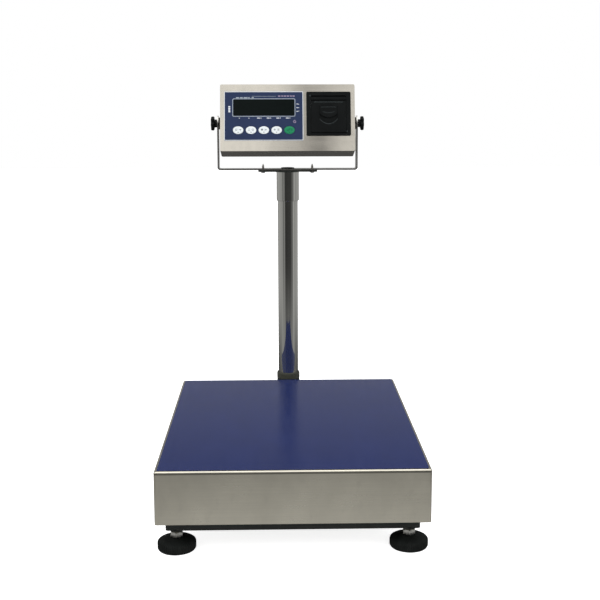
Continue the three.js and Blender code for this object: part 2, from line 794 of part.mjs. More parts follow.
function printerFrame() {
  const { x, z, bezel, bucket, wall } = PRINTER;
  const flange = plateXZ(roundedRectangle(bezel, bezel, 2.5, x, z), PRINTER_FRONT, FACE - GAP, 4);
  const h = bucket / 2;
  const walls = block(x - h, x + h, FACE - 1, PRINTER_BACK, z - h, z + h);
  const inside = block(
    x - h + wall,
    x + h - wall,
    FACE,
    PRINTER_BACK - wall,
    z - h + wall,
    z + h - wall,
  );
  const mouth = block(
    x - DOOR.half - 0.6,
    x + DOOR.half + 0.6,
    PRINTER_FRONT - 1,
    FACE + 1,
    DOOR.pivotZ - 2.7,
    PRINTER.mouthTop,
  );
  return cut(join(flange, walls), inside, mouth);
}

// The blade that paper is torn against, across the top of the mouth.
function tearBar() {
  const { teeth, low, root, top } = TEAR_BAR;
  const half = DOOR.half + GAP;
  const shape = new THREE.Shape();
  shape.moveTo(half, root);
  shape.lineTo(half, top);
  shape.lineTo(-half, top);
  shape.lineTo(-half, root);
  const pitch = (2 * half) / teeth;
  for (let i = 0; i < teeth; i++) {
    shape.lineTo(-half + (i + 0.5) * pitch, low);
    if (i < teeth - 1) shape.lineTo(-half + (i + 1) * pitch, root);
  }
  return plateXZ(shape, PRINTER_FRONT + 0.6, FACE - GAP).translate(PRINTER.x, 0, 0);
}

// The D outline of the latch and of its finger pocket, with a straight top and a bowed foot.
function bowedOutline({ half, top, side, foot }) {
  const shape = new THREE.Shape();
  shape.moveTo(-half, top);
  shape.lineTo(-half, side);
  shape.quadraticCurveTo(0, 2 * foot - side, half, side);
  shape.lineTo(half, top);
  return shape;
}

function printerDoor() {
  const { half, pivotY, pivotZ, halfSheet, top } = DOOR;
  const side = new THREE.Shape();
  side.moveTo(pivotY + halfSheet, pivotZ);
  side.lineTo(pivotY + halfSheet, top);
  side.lineTo(pivotY - halfSheet, top);
  side.absarc(pivotY, pivotZ, halfSheet, Math.PI, 2 * Math.PI);
  const leaf = plateYZ(side, -half, half, 8);
  const ears = [-1, 1].map((s) => {
    const x0 = s * (PLATEN.half + 1.7) - 1;
    return block(x0, x0 + 2, pivotY, PLATEN.y + 4.8, PLATEN.z - 5, PLATEN.z + 4.4);
  });
  const axleHole = alongX(rod(PLATEN.axle + 0.4, -35, 35, 16)).translate(0, PLATEN.y, PLATEN.z);
  const pocket = plateXZ(bowedOutline(POCKET), pivotY - 3, pivotY + 0.7, 10);
  return cut(join(leaf, ...ears), axleHole, pocket).translate(PRINTER.x, 0, 0);
}

function printerLatch() {
  const front = DOOR.pivotY - DOOR.halfSheet + 0.1;
  const lever = plateXZ(bowedOutline(LATCH), front, front + LATCH.thick, 10);
  return lever.translate(PRINTER.x, 0, 0);
}

function platenRoller() {
  const { y, z, radius, half, axle, axleHalf } = PLATEN;
  const roller = join(rod(axle, -axleHalf, axleHalf, 16), rod(radius, -half, half, 24));
  return alongX(roller).translate(PRINTER.x, y, z);
}

function paperRoll() {
  const { y, z, radius, core, half } = ROLL;
  return alongX(tube(radius, core, -half, half)).translate(PRINTER.x, y, z);
}

function printHead() {
  const { half, z0, z1, front, back } = PRINT_HEAD;
  const wide = PRINTER.bucket / 2 - PRINTER.wall - GAP;
  const carrier = block(-wide, wide, back - 2, back, z0 - 2, z1 + 2);
  const bar = block(-half, half, front, back - 1, z0, z1);
  return join(carrier, bar).translate(PRINTER.x, 0, 0);
}

function addIndicator(root) {
  const head = new THREE.Group();
  head.position.set(0, POLE.y, PIVOT_Z);
  head.rotation.x = -TILT;
  root.add(head);
  head.add(piece("front_housing", frontHousing(), "brushed"));
  head.add(piece("rear_cover", rearCover(), "brushed"));
  for (const [index, [sideX, sideZ]] of CORNERS.entries()) {
    const screw = piece(`cover_screw_${index + 1}`, alongY(coverScrew()), "zinc");
    screw.position.set(
      sideX * COVER.screwX,
      BACK + COVER.flange + 2 * GAP,
      SHELL.z + sideZ * COVER.screwZ,
    );
    head.add(screw);
  }
  const gland = piece("cell_cable_gland", cableGland(), "blackPlastic");
  gland.rotation.x = Math.PI / 2;
  gland.position.set(GLAND.x, COVER_BACK, GLAND.z);
  head.add(gland);
  head.add(piece("key_panel", keyPanel(), "panel"));
  head.add(piece("display_window", displayWindow(), "glass"));
  head.add(piece("display_board", displayBoard(), "board"));
  for (let i = 0; i < KEYS.count; i++) {
    const look = i < KEYS.count - 1 ? "whiteKey" : "greenKey";
    const key = piece(`key_${i + 1}`, keyCap(), look);
    key.position.set(keyPlace(i), FACE + 1.2, KEYS.z);
    head.add(key);
  }
  head.add(piece("battery", batteryPack(), "battery"));
  for (const [index, side] of [-1, 1].entries()) {
    const hand = piece(`knob_${index + 1}`, alongX(knob()), "blackPlastic");
    if (side < 0) hand.rotation.z = Math.PI;
    hand.position.x = side * (YOKE.half + GAP);
    head.add(hand);
  }
  head.add(piece("printer_frame", printerFrame(), "blackPlastic"));
  head.add(piece("tear_bar", tearBar(), "blackPlastic"));
  head.add(piece("printer_door", printerDoor(), "blackPlastic"));
  head.add(piece("printer_latch", printerLatch(), "blackPlastic"));
  head.add(piece("platen_roller", platenRoller(), "rubber"));
  head.add(piece("paper_roll", paperRoll(), "paper"));
  head.add(piece("print_head", printHead(), "aluminium"));
}

// ---------------------------------------------------------------- the whole scale

function benchScale() {
  const root = new THREE.Group();
  addBase(root);
  addPlatter(root);
  addPole(root);
  addYoke(root);
  addIndicator(root);
  return root;
}

export default benchScale();
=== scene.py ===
"""Looks for a bench scale with a printing weight indicator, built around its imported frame.

Shapes are worked out in millimetres and placed in metres. The front of the scale faces -Y.
"""

import json
import math

import bmesh
import bpy
from mathutils import Matrix, Vector

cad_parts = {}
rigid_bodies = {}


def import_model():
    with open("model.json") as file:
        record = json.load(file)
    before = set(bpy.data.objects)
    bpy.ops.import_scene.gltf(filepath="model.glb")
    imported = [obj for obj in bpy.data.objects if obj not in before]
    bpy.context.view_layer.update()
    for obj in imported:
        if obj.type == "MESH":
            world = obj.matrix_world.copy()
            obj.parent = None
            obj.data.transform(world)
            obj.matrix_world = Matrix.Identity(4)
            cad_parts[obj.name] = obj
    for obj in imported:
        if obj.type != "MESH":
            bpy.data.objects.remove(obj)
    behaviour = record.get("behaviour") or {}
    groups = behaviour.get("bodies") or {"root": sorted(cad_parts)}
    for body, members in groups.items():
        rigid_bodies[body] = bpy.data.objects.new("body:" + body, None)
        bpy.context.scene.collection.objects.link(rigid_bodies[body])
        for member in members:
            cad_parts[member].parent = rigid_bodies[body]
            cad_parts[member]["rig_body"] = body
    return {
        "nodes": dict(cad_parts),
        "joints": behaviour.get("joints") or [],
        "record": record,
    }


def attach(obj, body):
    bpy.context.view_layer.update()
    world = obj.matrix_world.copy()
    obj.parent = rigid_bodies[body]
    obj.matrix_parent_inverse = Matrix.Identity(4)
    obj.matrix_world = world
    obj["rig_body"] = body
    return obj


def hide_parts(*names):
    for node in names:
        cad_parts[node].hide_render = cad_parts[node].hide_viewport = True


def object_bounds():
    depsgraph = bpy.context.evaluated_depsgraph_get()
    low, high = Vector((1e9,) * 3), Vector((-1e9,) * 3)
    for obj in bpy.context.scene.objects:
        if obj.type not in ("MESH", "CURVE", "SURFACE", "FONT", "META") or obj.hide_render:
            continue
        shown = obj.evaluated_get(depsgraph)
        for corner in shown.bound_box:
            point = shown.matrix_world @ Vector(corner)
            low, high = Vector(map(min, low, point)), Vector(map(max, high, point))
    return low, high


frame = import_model()
cad_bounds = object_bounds()

MM = 0.001
JOINTS = {joint["name"]: joint for joint in frame["joints"]}

# ------------------------------------------------------------------ places taken from the frame

PIVOT = Vector(JOINTS["indicator_tilt"]["pos_m"])
PRESS = Vector(JOINTS["key_press_1"]["axis"])
TILT = math.atan2(-PRESS.z, PRESS.y)
HEAD = Matrix.Translation(PIVOT) @ Matrix.Rotation(-TILT, 4, "X")  # the indicator's own frame
COLUMN = Matrix.Translation((PIVOT.x, PIVOT.y, 0))


def box_mm(node, place=Matrix.Identity(4)):
    """A CAD node's lowest and highest corners in a placed frame, in millimetres."""
    back = place.inverted()
    points = [back @ v.co / MM for v in frame["nodes"][node].data.vertices]
    low = Vector(min(p[i] for p in points) for i in range(3))
    high = Vector(max(p[i] for p in points) for i in range(3))
    return low, high


def middle(low, high):
    """The point half way between two corners."""
    return tuple((a + b) / 2 for a, b in zip(low, high))


def upright(x, y):
    """A frame whose Z axis stands at a place given in millimetres."""
    return Matrix.Translation((x * MM, y * MM, 0))


def body_of(node):
    return frame["nodes"][node]["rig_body"]


def slot_of(node):
    rows = frame["record"]["subparts"]
    return next(row["material_slot"] for row in rows if row["node"] == node)


# ------------------------------------------------------------------ mesh helpers


def merge(target, other):
    """Adds one bmesh to another, and frees it."""
    mesh = bpy.data.meshes.new("part")
    other.to_mesh(mesh)
    other.free()
    target.from_mesh(mesh)
    bpy.data.meshes.remove(mesh)
    return target


def joined(*parts):
    whole = bmesh.new()
    for part in parts:
        merge(whole, part)
    return whole


def loft(rings, closed=False, caps=True):
    """Skins a list of rings that have the same number of points."""
    bm = bmesh.new()
    made = [[bm.verts.new(p) for p in ring] for ring in rings]
    count = len(made[0])
    pairs = list(zip(made, made[1:]))
    if closed:
        pairs.append((made[-1], made[0]))
    for low, high in pairs:
        for i in range(count):
            j = (i + 1) % count
            bm.faces.new((low[i], low[j], high[j], high[i]))
    if caps and not closed:
        bm.faces.new(reversed(made[0]))
        bm.faces.new(made[-1])
    return bm


def lathe(profile, segments=96, radius_of=None):
    """Turns a list of (radius, z) about Z, and radius_of may bend a radius by its height and angle."""
    bm = bmesh.new()
    rings = []
    for radius, z in profile:
        if radius < 1e-6:
            rings.append([bm.verts.new((0, 0, z))])
            continue
        ring = []
        for i in range(segments):
            angle = 2 * math.pi * i / segments
            r = radius_of(radius, z, angle) if radius_of else radius
            ring.append(bm.verts.new((r * math.cos(angle), r * math.sin(angle), z)))
        rings.append(ring)
    for low, high in zip(rings, rings[1:]):
        for i in range(segments):
            j = (i + 1) % segments
            if len(low) == 1 and len(high) == 1:
                continue
            if len(low) == 1:
                bm.faces.new((low[0], high[j], high[i]))
            elif len(high) == 1:
                bm.faces.new((low[i], low[j], high[0]))
            else:
                bm.faces.new((low[i], low[j], high[j], high[i]))
    bmesh.ops.remove_doubles(bm, verts=bm.verts[:], dist=1e-5)
    return bm


def ring_profile(outer, inner, z0, z1, chamfer):
    """A closed profile for a tube with chamfered rims."""
    c = chamfer
    return [
        *((inner, z0 + c), (inner + c, z0), (outer - c, z0), (outer, z0 + c)),
        *((outer, z1 - c), (outer - c, z1), (inner + c, z1), (inner, z1 - c)),
        (inner, z0 + c),
    ]


def rectangle(width, height, radius, x=0.0, y=0.0, steps=6):
    """Points of a rounded rectangle, going round anticlockwise."""
    points = []
    w, h = width / 2 - radius, height / 2 - radius
    corners = ((w, -h, -90), (w, h, 0), (-w, h, 90), (-w, -h, 180))
    for cx, cy, start in corners:
        for i in range(steps + 1):
            a = math.radians(start + 90 * i / steps)
            points.append((x + cx + radius * math.cos(a), y + cy + radius * math.sin(a)))
    return points


def oval(a, b, x=0.0, y=0.0, steps=64):
    turn = [2 * math.pi * i / steps for i in range(steps)]
    return [(x + a * math.cos(t), y + b * math.sin(t)) for t in turn]


def prism(outline, z0, z1):
    return loft([[(x, y, z0) for x, y in outline], [(x, y, z1) for x, y in outline]])


def plate(outline, y0, y1):
    """An outline in X and Z, as a plate between two depths."""
    return loft([[(x, y0, z) for x, z in outline], [(x, y1, z) for x, z in outline]])


def frame_plate(outer, inner, y0, y1):
    """A flat ring in X and Z between two outlines with the same number of points."""
    rings = [
        [(x, y0, z) for x, z in outer],
        [(x, y1, z) for x, z in outer],
        [(x, y1, z) for x, z in inner],
        [(x, y0, z) for x, z in inner],
    ]
    return loft(rings, closed=True)


def block(x0, x1, y0, y1, z0, z1):
    return prism([(x0, y0), (x1, y0), (x1, y1), (x0, y1)], z0, z1)


def turned_to(bm, axis):
    """Turns a bmesh that was made about Z so that +Z points along another axis."""
    turn = Vector((0, 0, 1)).rotation_difference(Vector(axis)).to_matrix()
    bmesh.ops.rotate(bm, verts=bm.verts[:], cent=(0, 0, 0), matrix=turn)
    return bm


def moved(bm, x=0.0, y=0.0, z=0.0):
    bmesh.ops.translate(bm, verts=bm.verts[:], vec=(x, y, z))
    return bm


def edge_angle(edge):
    return edge.calc_face_angle(0.0) if len(edge.link_faces) == 2 else 0.0


def soften(bm, width, segments, angle=30):
    """Rounds every edge that is sharper than an angle."""
    bmesh.ops.recalc_face_normals(bm, faces=bm.faces[:])
    sharp = [e for e in bm.edges if edge_angle(e) > math.radians(angle)]
    bmesh.ops.bevel(
        bm,
        geom=sharp,
        offset=width,
        offset_type="OFFSET",
        segments=segments,
        profile=0.6,
        affect="EDGES",
        clamp_overlap=True,
    )
    return bm


def is_wide_flat(face, areas):
    """True for a face that only meets much smaller facets, such as rounded edges."""
    for edge in face.edges:
        if edge_angle(edge) < math.radians(2):
            continue
        if any(areas[other] * 20 > areas[face] for other in edge.link_faces if other is not face):
            return False
    return True


def shade(bm):
    """Smooths curved faces up to the sharp edges, and leaves wide flat faces flat."""
    areas = {face: face.calc_area() for face in bm.faces}
    for face in bm.faces:
        face.smooth = not is_wide_flat(face, areas)
    for edge in bm.edges:
        edge.smooth = edge_angle(edge) < math.radians(38)


def piece(name, bm, look, body, nodes=(), place=Matrix.Identity(4), bevel=0.0, segments=3):
    """Makes an object from a bmesh in millimetres, and hands it to its body."""
    bmesh.ops.recalc_face_normals(bm, faces=bm.faces[:])
    if bevel:
        soften(bm, bevel, segments)
    shade(bm)
    bmesh.ops.transform(bm, matrix=place @ Matrix.Scale(MM, 4), verts=bm.verts[:])
    mesh = bpy.data.meshes.new(name)
    bm.to_mesh(mesh)
    bm.free()
    obj = bpy.data.objects.new(name, mesh)
    bpy.context.scene.collection.objects.link(obj)
    mesh.materials.append(LOOKS[look])
    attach(obj, body)
    if nodes:
        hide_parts(*nodes)
    return obj


def stand_in(node, bm, look, place=Matrix.Identity(4), bevel=0.0, segments=3):
    """A fine piece that takes the place of one CAD node."""
    name = f"{node}_fine"
    return piece(name, bm, look, body_of(node), (node,), place, bevel, segments)


def refined(node, look, bevel=0.4, segments=2, angle=34):
    """A CAD node's own shape with its flat faces rebuilt and its edges rounded."""
    bm = bmesh.new()
    bm.from_mesh(frame["nodes"][node].data)
    bmesh.ops.remove_doubles(bm, verts=bm.verts[:], dist=2e-6)
    bmesh.ops.scale(bm, vec=(1 / MM,) * 3, verts=bm.verts[:])
    bmesh.ops.dissolve_limit(
        bm,
        angle_limit=math.radians(0.6),
        verts=bm.verts[:],
        edges=bm.edges[:],
        delimit={"NORMAL"},
    )
    if bevel:
        soften(bm, bevel, segments, angle)
    return stand_in(node, bm, look)


# ------------------------------------------------------------------ materials


def scaled(color, factor, lift=0.0):
    """A colour made darker or lighter, and lifted."""
    return tuple(min(1.0, c * factor + lift) for c in color)


class Graph:
    """A material with one Principled shader, and short ways to feed its sockets."""

    def __init__(self, name, color, roughness, metallic=0.0, gloss=0.5):
        self.material = bpy.data.materials.new(name)
        self.material.use_nodes = True
        self.tree = self.material.node_tree
        self.shader = self.tree.nodes["Principled BSDF"]
        self.color = color
        self.set("Base Color", (*color, 1))
        self.set("Roughness", roughness)
        self.set("Metallic", metallic)
        self.set("Specular IOR Level", gloss)
        self.place = self.node("ShaderNodeTexCoord").outputs["Object"]

    def set(self, socket, value):
        self.shader.inputs[socket].default_value = value

    def node(self, kind, inputs=None, **settings):
        """A new node, with its settings made first and then its inputs linked or filled."""
        made = self.tree.nodes.new(kind)
        for key, value in settings.items():
            setattr(made, key, value)
        for socket, value in (inputs or {}).items():
            self.feed(made.inputs[socket], value)
        return made

    def feed(self, socket, value):
        if isinstance(value, bpy.types.NodeSocket):
            self.tree.links.new(value, socket)
        else:
            socket.default_value = value

    def noise(self, scale, stretch=(1, 1, 1), detail=3.0, roughness=0.5, distortion=0.0, offset=0.0):
        """A noise pattern; scale is in cells per metre and stretch multiplies it along each axis."""
        shift = (offset, offset * 0.7, offset * 1.3)
        place = {"Vector": self.place, "Scale": stretch, "Location": shift}
        mapping = self.node("ShaderNodeMapping", place)
        pattern = {"Vector": mapping.outputs["Vector"], "Scale": scale, "Detail": detail}
        pattern |= {"Roughness": roughness, "Distortion": distortion}
        return self.node("ShaderNodeTexNoise", pattern).outputs["Fac"]

    def spread(self, fac, low, high, start=0.3, end=0.7):
        """Maps a pattern's middle range to two values."""
        values = {"Value": fac, "From Min": start, "From Max": end, "To Min": low, "To Max": high}
        return self.node("ShaderNodeMapRange", values).outputs["Result"]

    def math(self, operation, a, b):
        return self.node("ShaderNodeMath", {0: a, 1: b}, operation=operation).outputs[0]

    def mix(self, fac, a, b):
        made = self.node("ShaderNodeMix", data_type="RGBA")
        self.feed(made.inputs["Factor"], fac)
        sockets = [s for s in made.inputs if s.type == "RGBA"]
        self.feed(sockets[0], a if isinstance(a, bpy.types.NodeSocket) else (*a, 1))
        self.feed(sockets[1], b if isinstance(b, bpy.types.NodeSocket) else (*b, 1))
        return next(s for s in made.outputs if s.type == "RGBA")

    def tint(self, fac, amount):
        """The base colour made darker and lighter by a pattern."""
        return self.mix(fac, scaled(self.color, 1 - amount), scaled(self.color, 1 + amount))

    def bump(self, height, strength, distance):
        values = {"Strength": strength, "Distance": distance, "Height": height}
        made = self.node("ShaderNodeBump", values)
        self.feed(self.shader.inputs["Normal"], made.outputs["Normal"])

    def edges(self, radius):
        """High near rounded edges, from the difference between the bevelled and the true normal."""
        bevel = self.node("ShaderNodeBevel", {"Radius": radius})
        geometry = self.node("ShaderNodeNewGeometry")
        normals = {0: bevel.outputs["Normal"], 1: geometry.outputs["Normal"]}
        dot = self.node("ShaderNodeVectorMath", normals, operation="DOT_PRODUCT")
        return self.spread(dot.outputs["Value"], 1.0, 0.0, 0.9, 1.0)

    def finish(self, color, roughness=None):
        self.feed(self.shader.inputs["Base Color"], color)
        if roughness is not None:
            self.feed(self.shader.inputs["Roughness"], roughness)
        return self.material


def fold_shade_line(g, z, top):
    """A factor for a painted shade line from 4.2 to 2.6 mm below a fold, with soft edges."""
    near = g.spread(z, 0.0, 1.0, top - 0.0052, top - 0.0042)
    past = g.spread(z, 1.0, 0.0, top - 0.0026, top - 0.0018)
    line = g.math("MULTIPLY", near, past)
    return g.math("SUBTRACT", 1.0, g.math("MULTIPLY", line, 0.6))


def shaded_below(g, tone, start, end, level):
    """A tone with painted shade: it falls to a level towards a fold at height end, and adds the fold's
    painted shade line.
    """
    z = g.node("ShaderNodeSeparateXYZ", {0: g.place}).outputs["Z"]
    ramp = g.math("MULTIPLY", g.spread(z, 1.0, level, start, end), fold_shade_line(g, z, end))
    scale = g.node("ShaderNodeVectorMath", {0: tone, "Scale": ramp}, operation="SCALE")
    return scale.outputs["Vector"]


def brushed_steel(name, color, roughness, grain, anisotropy=0.8, shade_below=None):
    """Steel with fine parallel lines; grain gives the stretch of the lines along X, Y and Z."""
    g = Graph(name, color, roughness, metallic=1.0)
    g.set("Anisotropic", anisotropy)
    g.set("Anisotropic Rotation", 0.25)
    tangent = g.node("ShaderNodeTangent", direction_type="RADIAL", axis="Z")
    g.feed(g.shader.inputs["Tangent"], tangent.outputs["Tangent"])
    lines = g.noise(900, grain, detail=2.0, roughness=0.6)
    bands = g.noise(160, grain, detail=2.0, offset=3.1)
    clouds = g.noise(17, (1.0, 1.0, 0.6), detail=5.0, roughness=0.6, offset=1.7)
    smudges = g.noise(75, (1.0, 1.0, 0.7), detail=4.0, distortion=0.4, offset=5.7)
    pattern = g.math("ADD", g.math("MULTIPLY", lines, 0.55), g.math("MULTIPLY", bands, 0.45))
    streaked = g.tint(g.spread(pattern, 0.0, 1.0, 0.35, 0.65), 0.045)
    patchy = g.mix(g.spread(clouds, 0.0, 0.8, 0.35, 0.7), streaked, scaled(color, 0.87))
    tone = g.mix(g.spread(smudges, 0.0, 0.45, 0.55, 0.8), patchy, scaled(color, 0.82))
    # Painted shade: the steel is darkened towards the skirt's fold.
    if shade_below:
        tone = shaded_below(g, tone, *shade_below)
    streaks = g.spread(pattern, roughness - 0.04, roughness + 0.05)
    rough = g.math("ADD", streaks, g.spread(clouds, -0.02, 0.03))
    g.bump(lines, 0.02, 0.0001)
    return g.finish(tone, rough)


def chrome(name, color):
    """Polished chrome, dulled a little by long smears."""
    g = Graph(name, color, 0.05, metallic=1.0)
    smears = g.noise(22, (1, 1, 0.35), detail=5.0, distortion=0.6)
    wipes = g.noise(420, (1, 1, 0.03), detail=2.0, offset=2.0)
    dulled = g.spread(smears, 0.035, 0.09, 0.35, 0.7)
    rough = g.math("ADD", dulled, g.spread(wipes, -0.008, 0.012))
    g.bump(wipes, 0.015, 0.0001)
    return g.finish(g.tint(g.spread(smears, 0.0, 1.0), 0.035), rough)


def plated(name, color, roughness):
    """Zinc plating: dull metal with a cloudy bloom."""
    g = Graph(name, color, roughness, metallic=1.0)
    bloom = g.noise(240, detail=4.0, distortion=0.3)
    fine = g.noise(2600, detail=2.0, offset=1.1)
    warm = (color[0], color[1] * 0.96, color[2] * 0.84)
    tone = g.mix(g.spread(bloom, 0.0, 0.6), color, warm)
    g.bump(fine, 0.08, 0.0001)
    return g.finish(tone, g.spread(bloom, roughness - 0.08, roughness + 0.12))


def painted(name, color, roughness, worn):
    """Stoved paint with a little orange peel, rubbed lighter at its edges."""
    g = Graph(name, color, roughness, gloss=0.25)
    peel = g.noise(900, detail=2.0)
    dust = g.noise(34, detail=5.0, offset=4.0)
    rims = g.edges(0.0015)
    rubbed = g.math("MULTIPLY", rims, g.spread(g.noise(300, offset=2.0), 0.0, 1.0, 0.45, 0.62))
    tone = g.mix(g.spread(dust, 0.0, 0.4), color, scaled(color, 1.6, 0.004))
    g.bump(peel, 0.12, 0.0003)
    return g.finish(g.mix(rubbed, tone, worn), g.spread(dust, roughness - 0.06, roughness + 0.1))


def moulded(name, color, roughness, texture=1600, depth=0.25, lift=1.5, gloss=0.22):
    """Moulded plastic with a spark-eroded texture, and a painted highlight that makes its rounded edges
    paler.
    """
    g = Graph(name, color, roughness, gloss=gloss)
    grain = g.noise(texture, detail=2.0, roughness=0.7)
    clouds = g.noise(40, detail=4.0, offset=2.2)
    tone = g.mix(g.spread(clouds, 0.0, 0.5), color, scaled(color, lift, 0.003))
    g.bump(grain, depth, 0.0002)
    # Painted highlight: every rounded edge is lightened by the same amount.
    edge = g.math("MULTIPLY", g.edges(0.0008), 0.35)
    with_edge_highlight = g.mix(edge, tone, scaled(color, 2.2, 0.01))
    return g.finish(with_edge_highlight, g.spread(clouds, roughness - 0.06, roughness + 0.08))


def rubber(name, color):
    """Matt rubber with a fine grain, pale where dust lies."""
    g = Graph(name, color, 0.75, gloss=0.15)
    grain = g.noise(2200, detail=3.0)
    dust = g.noise(60, detail=6.0, roughness=0.65, offset=5.0)
    g.bump(grain, 0.3, 0.0002)
    dusty = g.mix(g.spread(dust, 0.0, 0.6, 0.4, 0.75), color, scaled(color, 1.8, 0.004))
    return g.finish(dusty, g.spread(grain, 0.67, 0.85))


def deck_film(name, color):
    """Glossy blue film laid on steel: shallow waves, faint rub marks."""
    g = Graph(name, color, 0.3)
    waves = g.noise(16, (1, 0.5, 1), detail=3.0, distortion=0.4)
    rubs = g.noise(120, (1, 0.12, 1), detail=4.0, offset=3.3)
    tone = g.tint(g.spread(waves, 0.0, 1.0), 0.06)
    g.bump(g.noise(5, detail=2.0, offset=6.0), 0.02, 0.0003)
    return g.finish(tone, g.spread(rubs, 0.2, 0.25))


def printed_film(name, color):
    """A printed polyester overlay with a fine matt grain."""
    g = Graph(name, color, 0.42, gloss=0.2)
    grain = g.noise(3200, detail=2.0)
    clouds = g.noise(30, detail=3.0, offset=1.0)
    g.bump(grain, 0.06, 0.0001)
    tone = g.tint(g.spread(clouds, 0.0, 1.0), 0.07)
    return g.finish(tone, g.spread(grain, 0.37, 0.49))


def dark_lens(name, color):
    """The smoked display window, with wiping marks in its gloss."""
    g = Graph(name, color, 0.1, gloss=0.06)
    wipes = g.noise(70, (1, 1, 3), detail=5.0, distortion=0.8)
    return g.finish(g.tint(g.spread(wipes, 0.0, 1.0), 0.15), g.spread(wipes, 0.06, 0.17))


def milled(name, color):
    """Machined aluminium with crossing tool marks."""
    g = Graph(name, color, 0.38, metallic=1.0)
    marks = g.noise(1200, (1, 0.05, 1), detail=2.0)
    clouds = g.noise(50, detail=3.0, offset=2.0)
    g.bump(marks, 0.1, 0.0002)
    return g.finish(g.tint(g.spread(marks, 0.0, 1.0), 0.06), g.spread(clouds, 0.3, 0.46))


def circuit_board(name, color):
    """Solder mask over copper tracks, with pale pads in rows."""
    g = Graph(name, color, 0.4)
    grid = {"Vector": g.place, "Scale": 150, "Mortar Size": 0.03}
    brick = g.node("ShaderNodeTexBrick", grid)
    tracks = g.spread(brick.outputs["Fac"], 0.0, 0.5, 0.0, 1.0)
    return g.finish(g.mix(tracks, color, scaled(color, 2)), g.spread(g.noise(500), 0.3, 0.5))


def paper(name, color):
    """Receipt paper with fine fibres."""
    g = Graph(name, color, 0.85)
    fibres = g.noise(1500, (0.3, 1, 1), detail=5.0)
    g.bump(fibres, 0.12, 0.0001)
    return g.finish(g.tint(g.spread(fibres, 0.0, 1.0), 0.04), g.spread(fibres, 0.78, 0.95))


ALONG_X = (0.012, 1, 1)
PAN_TOP = box_mm("platter_pan")[1].z * MM
# Painted shade on the skirt: darker towards the fold under the deck.
SKIRT_SHADE = (0.05, PAN_TOP, 0.78)  # heights in metres, and the level reached at the fold

INKS = {
    "white_ink": (0.5, 0.52, 0.54),
    "grey_ink": (0.23, 0.26, 0.29),
    "dark_ink": (0.05, 0.055, 0.06),
    "key_ink": (0.12, 0.135, 0.145),
    "pink_ink": (0.34, 0.27, 0.37),
    "green_ink": (0.003, 0.05, 0.022),
}

LOOKS = {
    "skirt_steel": brushed_steel("skirt_steel", (0.86, 0.82, 0.69), 0.3, ALONG_X, 0.5, SKIRT_SHADE),
    "head_steel": brushed_steel("head_steel", (0.78, 0.735, 0.645), 0.1, ALONG_X, 0.9),
    "yoke_steel": brushed_steel("yoke_steel", (0.62, 0.61, 0.57), 0.28, ALONG_X, 0.3),
    "chrome": chrome("chrome", (0.66, 0.66, 0.62)),
    "zinc": plated("zinc", (0.72, 0.72, 0.69), 0.34),
    "black_paint": painted("black_paint", (0.0075, 0.009, 0.0078), 0.42, (0.06, 0.06, 0.058)),
    "rubber": rubber("rubber", (0.0035, 0.0045, 0.004)),
    "black_plastic": moulded("black_plastic", (0.0018, 0.0025, 0.0026), 0.46, lift=1.2, gloss=0.11),
    # A paler copy of the black plastic, used as a painted highlight on raised lips, ribs and dots.
    "painted_highlight_plastic": moulded("painted_highlight_plastic", (0.018, 0.022, 0.023), 0.4, gloss=0.12),
    "collar_plastic": moulded("collar_plastic", (0.03, 0.031, 0.023), 0.5),
    "aluminium": milled("aluminium", (0.6, 0.61, 0.62)),
    "film": deck_film("deck_film", (0.006, 0.0145, 0.083)),
    "panel": printed_film("panel_print", (0.0125, 0.0215, 0.058)),
    **{name: printed_film(name, color) for name, color in INKS.items()},
    "lens": dark_lens("display_lens", (0.0022, 0.0038, 0.0036)),
    "white_key": moulded("white_key", (0.52, 0.55, 0.56), 0.4, 2600, 0.05, 1.04, 0.3),
    "green_key": moulded("green_key", (0.004, 0.15, 0.062), 0.4, 2600, 0.05, 1.1, 0.3),
    "board": circuit_board("circuit_board", (0.015, 0.09, 0.03)),
    "paper": paper("paper", (0.82, 0.81, 0.77)),
    "battery": moulded("battery_case", (0.05, 0.055, 0.06), 0.5),
}


# ------------------------------------------------------------------ base, feet and platter


RIBS = 54
RIB_DEPTH = 0.9


def rib(radius, z, angle):
    """Grips round the pad's rim, which fade into its shoulder and its foot."""
    if radius < 26.5 or z < 1.5:
        return radius
    return radius - RIB_DEPTH * (0.5 - 0.5 * math.cos(RIBS * angle)) ** 1.5


def foot_pad(node):
    """A round pad with a sloping shoulder and a socket for the stud."""
    low, high = box_mm(node)
    x, y, _ = middle(low, high)
    top = high.z
    foot = [(0, 0), (25.2, 0), (26.6, 0.3), (27.4, 1.1), (27.8, 1.9)]
    rim = [(28.45, 2.6), (28.45, 11.2), (27.9, 12.6), (26.8, 13.6)]
    shoulder = [(24.6, 14.8), (21.0, 16.2), (16.6, 17.6), (13.2, top - 0.8), (11.6, top - 0.1)]
    socket = [(10.2, top), (5.4, top), (4.8, top - 0.5), (4.8, 6.0), (0, 6.0)]
    pad = lathe(foot + rim + shoulder + socket, RIBS * 8, rib)
    stand_in(node, pad, "rubber", upright(x, y))


def thread(radius, z0, z1, pitch, depth):
    """Profile points of a ring-cut thread."""
    points = []
    turns = int((z1 - z0) / pitch)
    for i in range(turns):
        z = z0 + i * pitch
        points += [(radius - depth, z), (radius, z + pitch * 0.4), (radius, z + pitch * 0.6)]
    points.append((radius - depth, z0 + turns * pitch))
    return points


def hexagon(across, z0, z1):
    """A hexagon prism with rounded edges."""
    corner = across / math.sqrt(3)
    return soften(prism(oval(corner, corner, steps=6), z0, z1), 0.28, 2)


def hexagon_flat(radius, _, angle):
    """Holds a turned radius to the flats of a 17 mm hexagon, at any height."""
    if radius < 5:
        return radius
    from_flat = (angle + math.pi / 6) % (math.pi / 3) - math.pi / 6
    return min(radius, 8.5 / math.cos(from_flat))


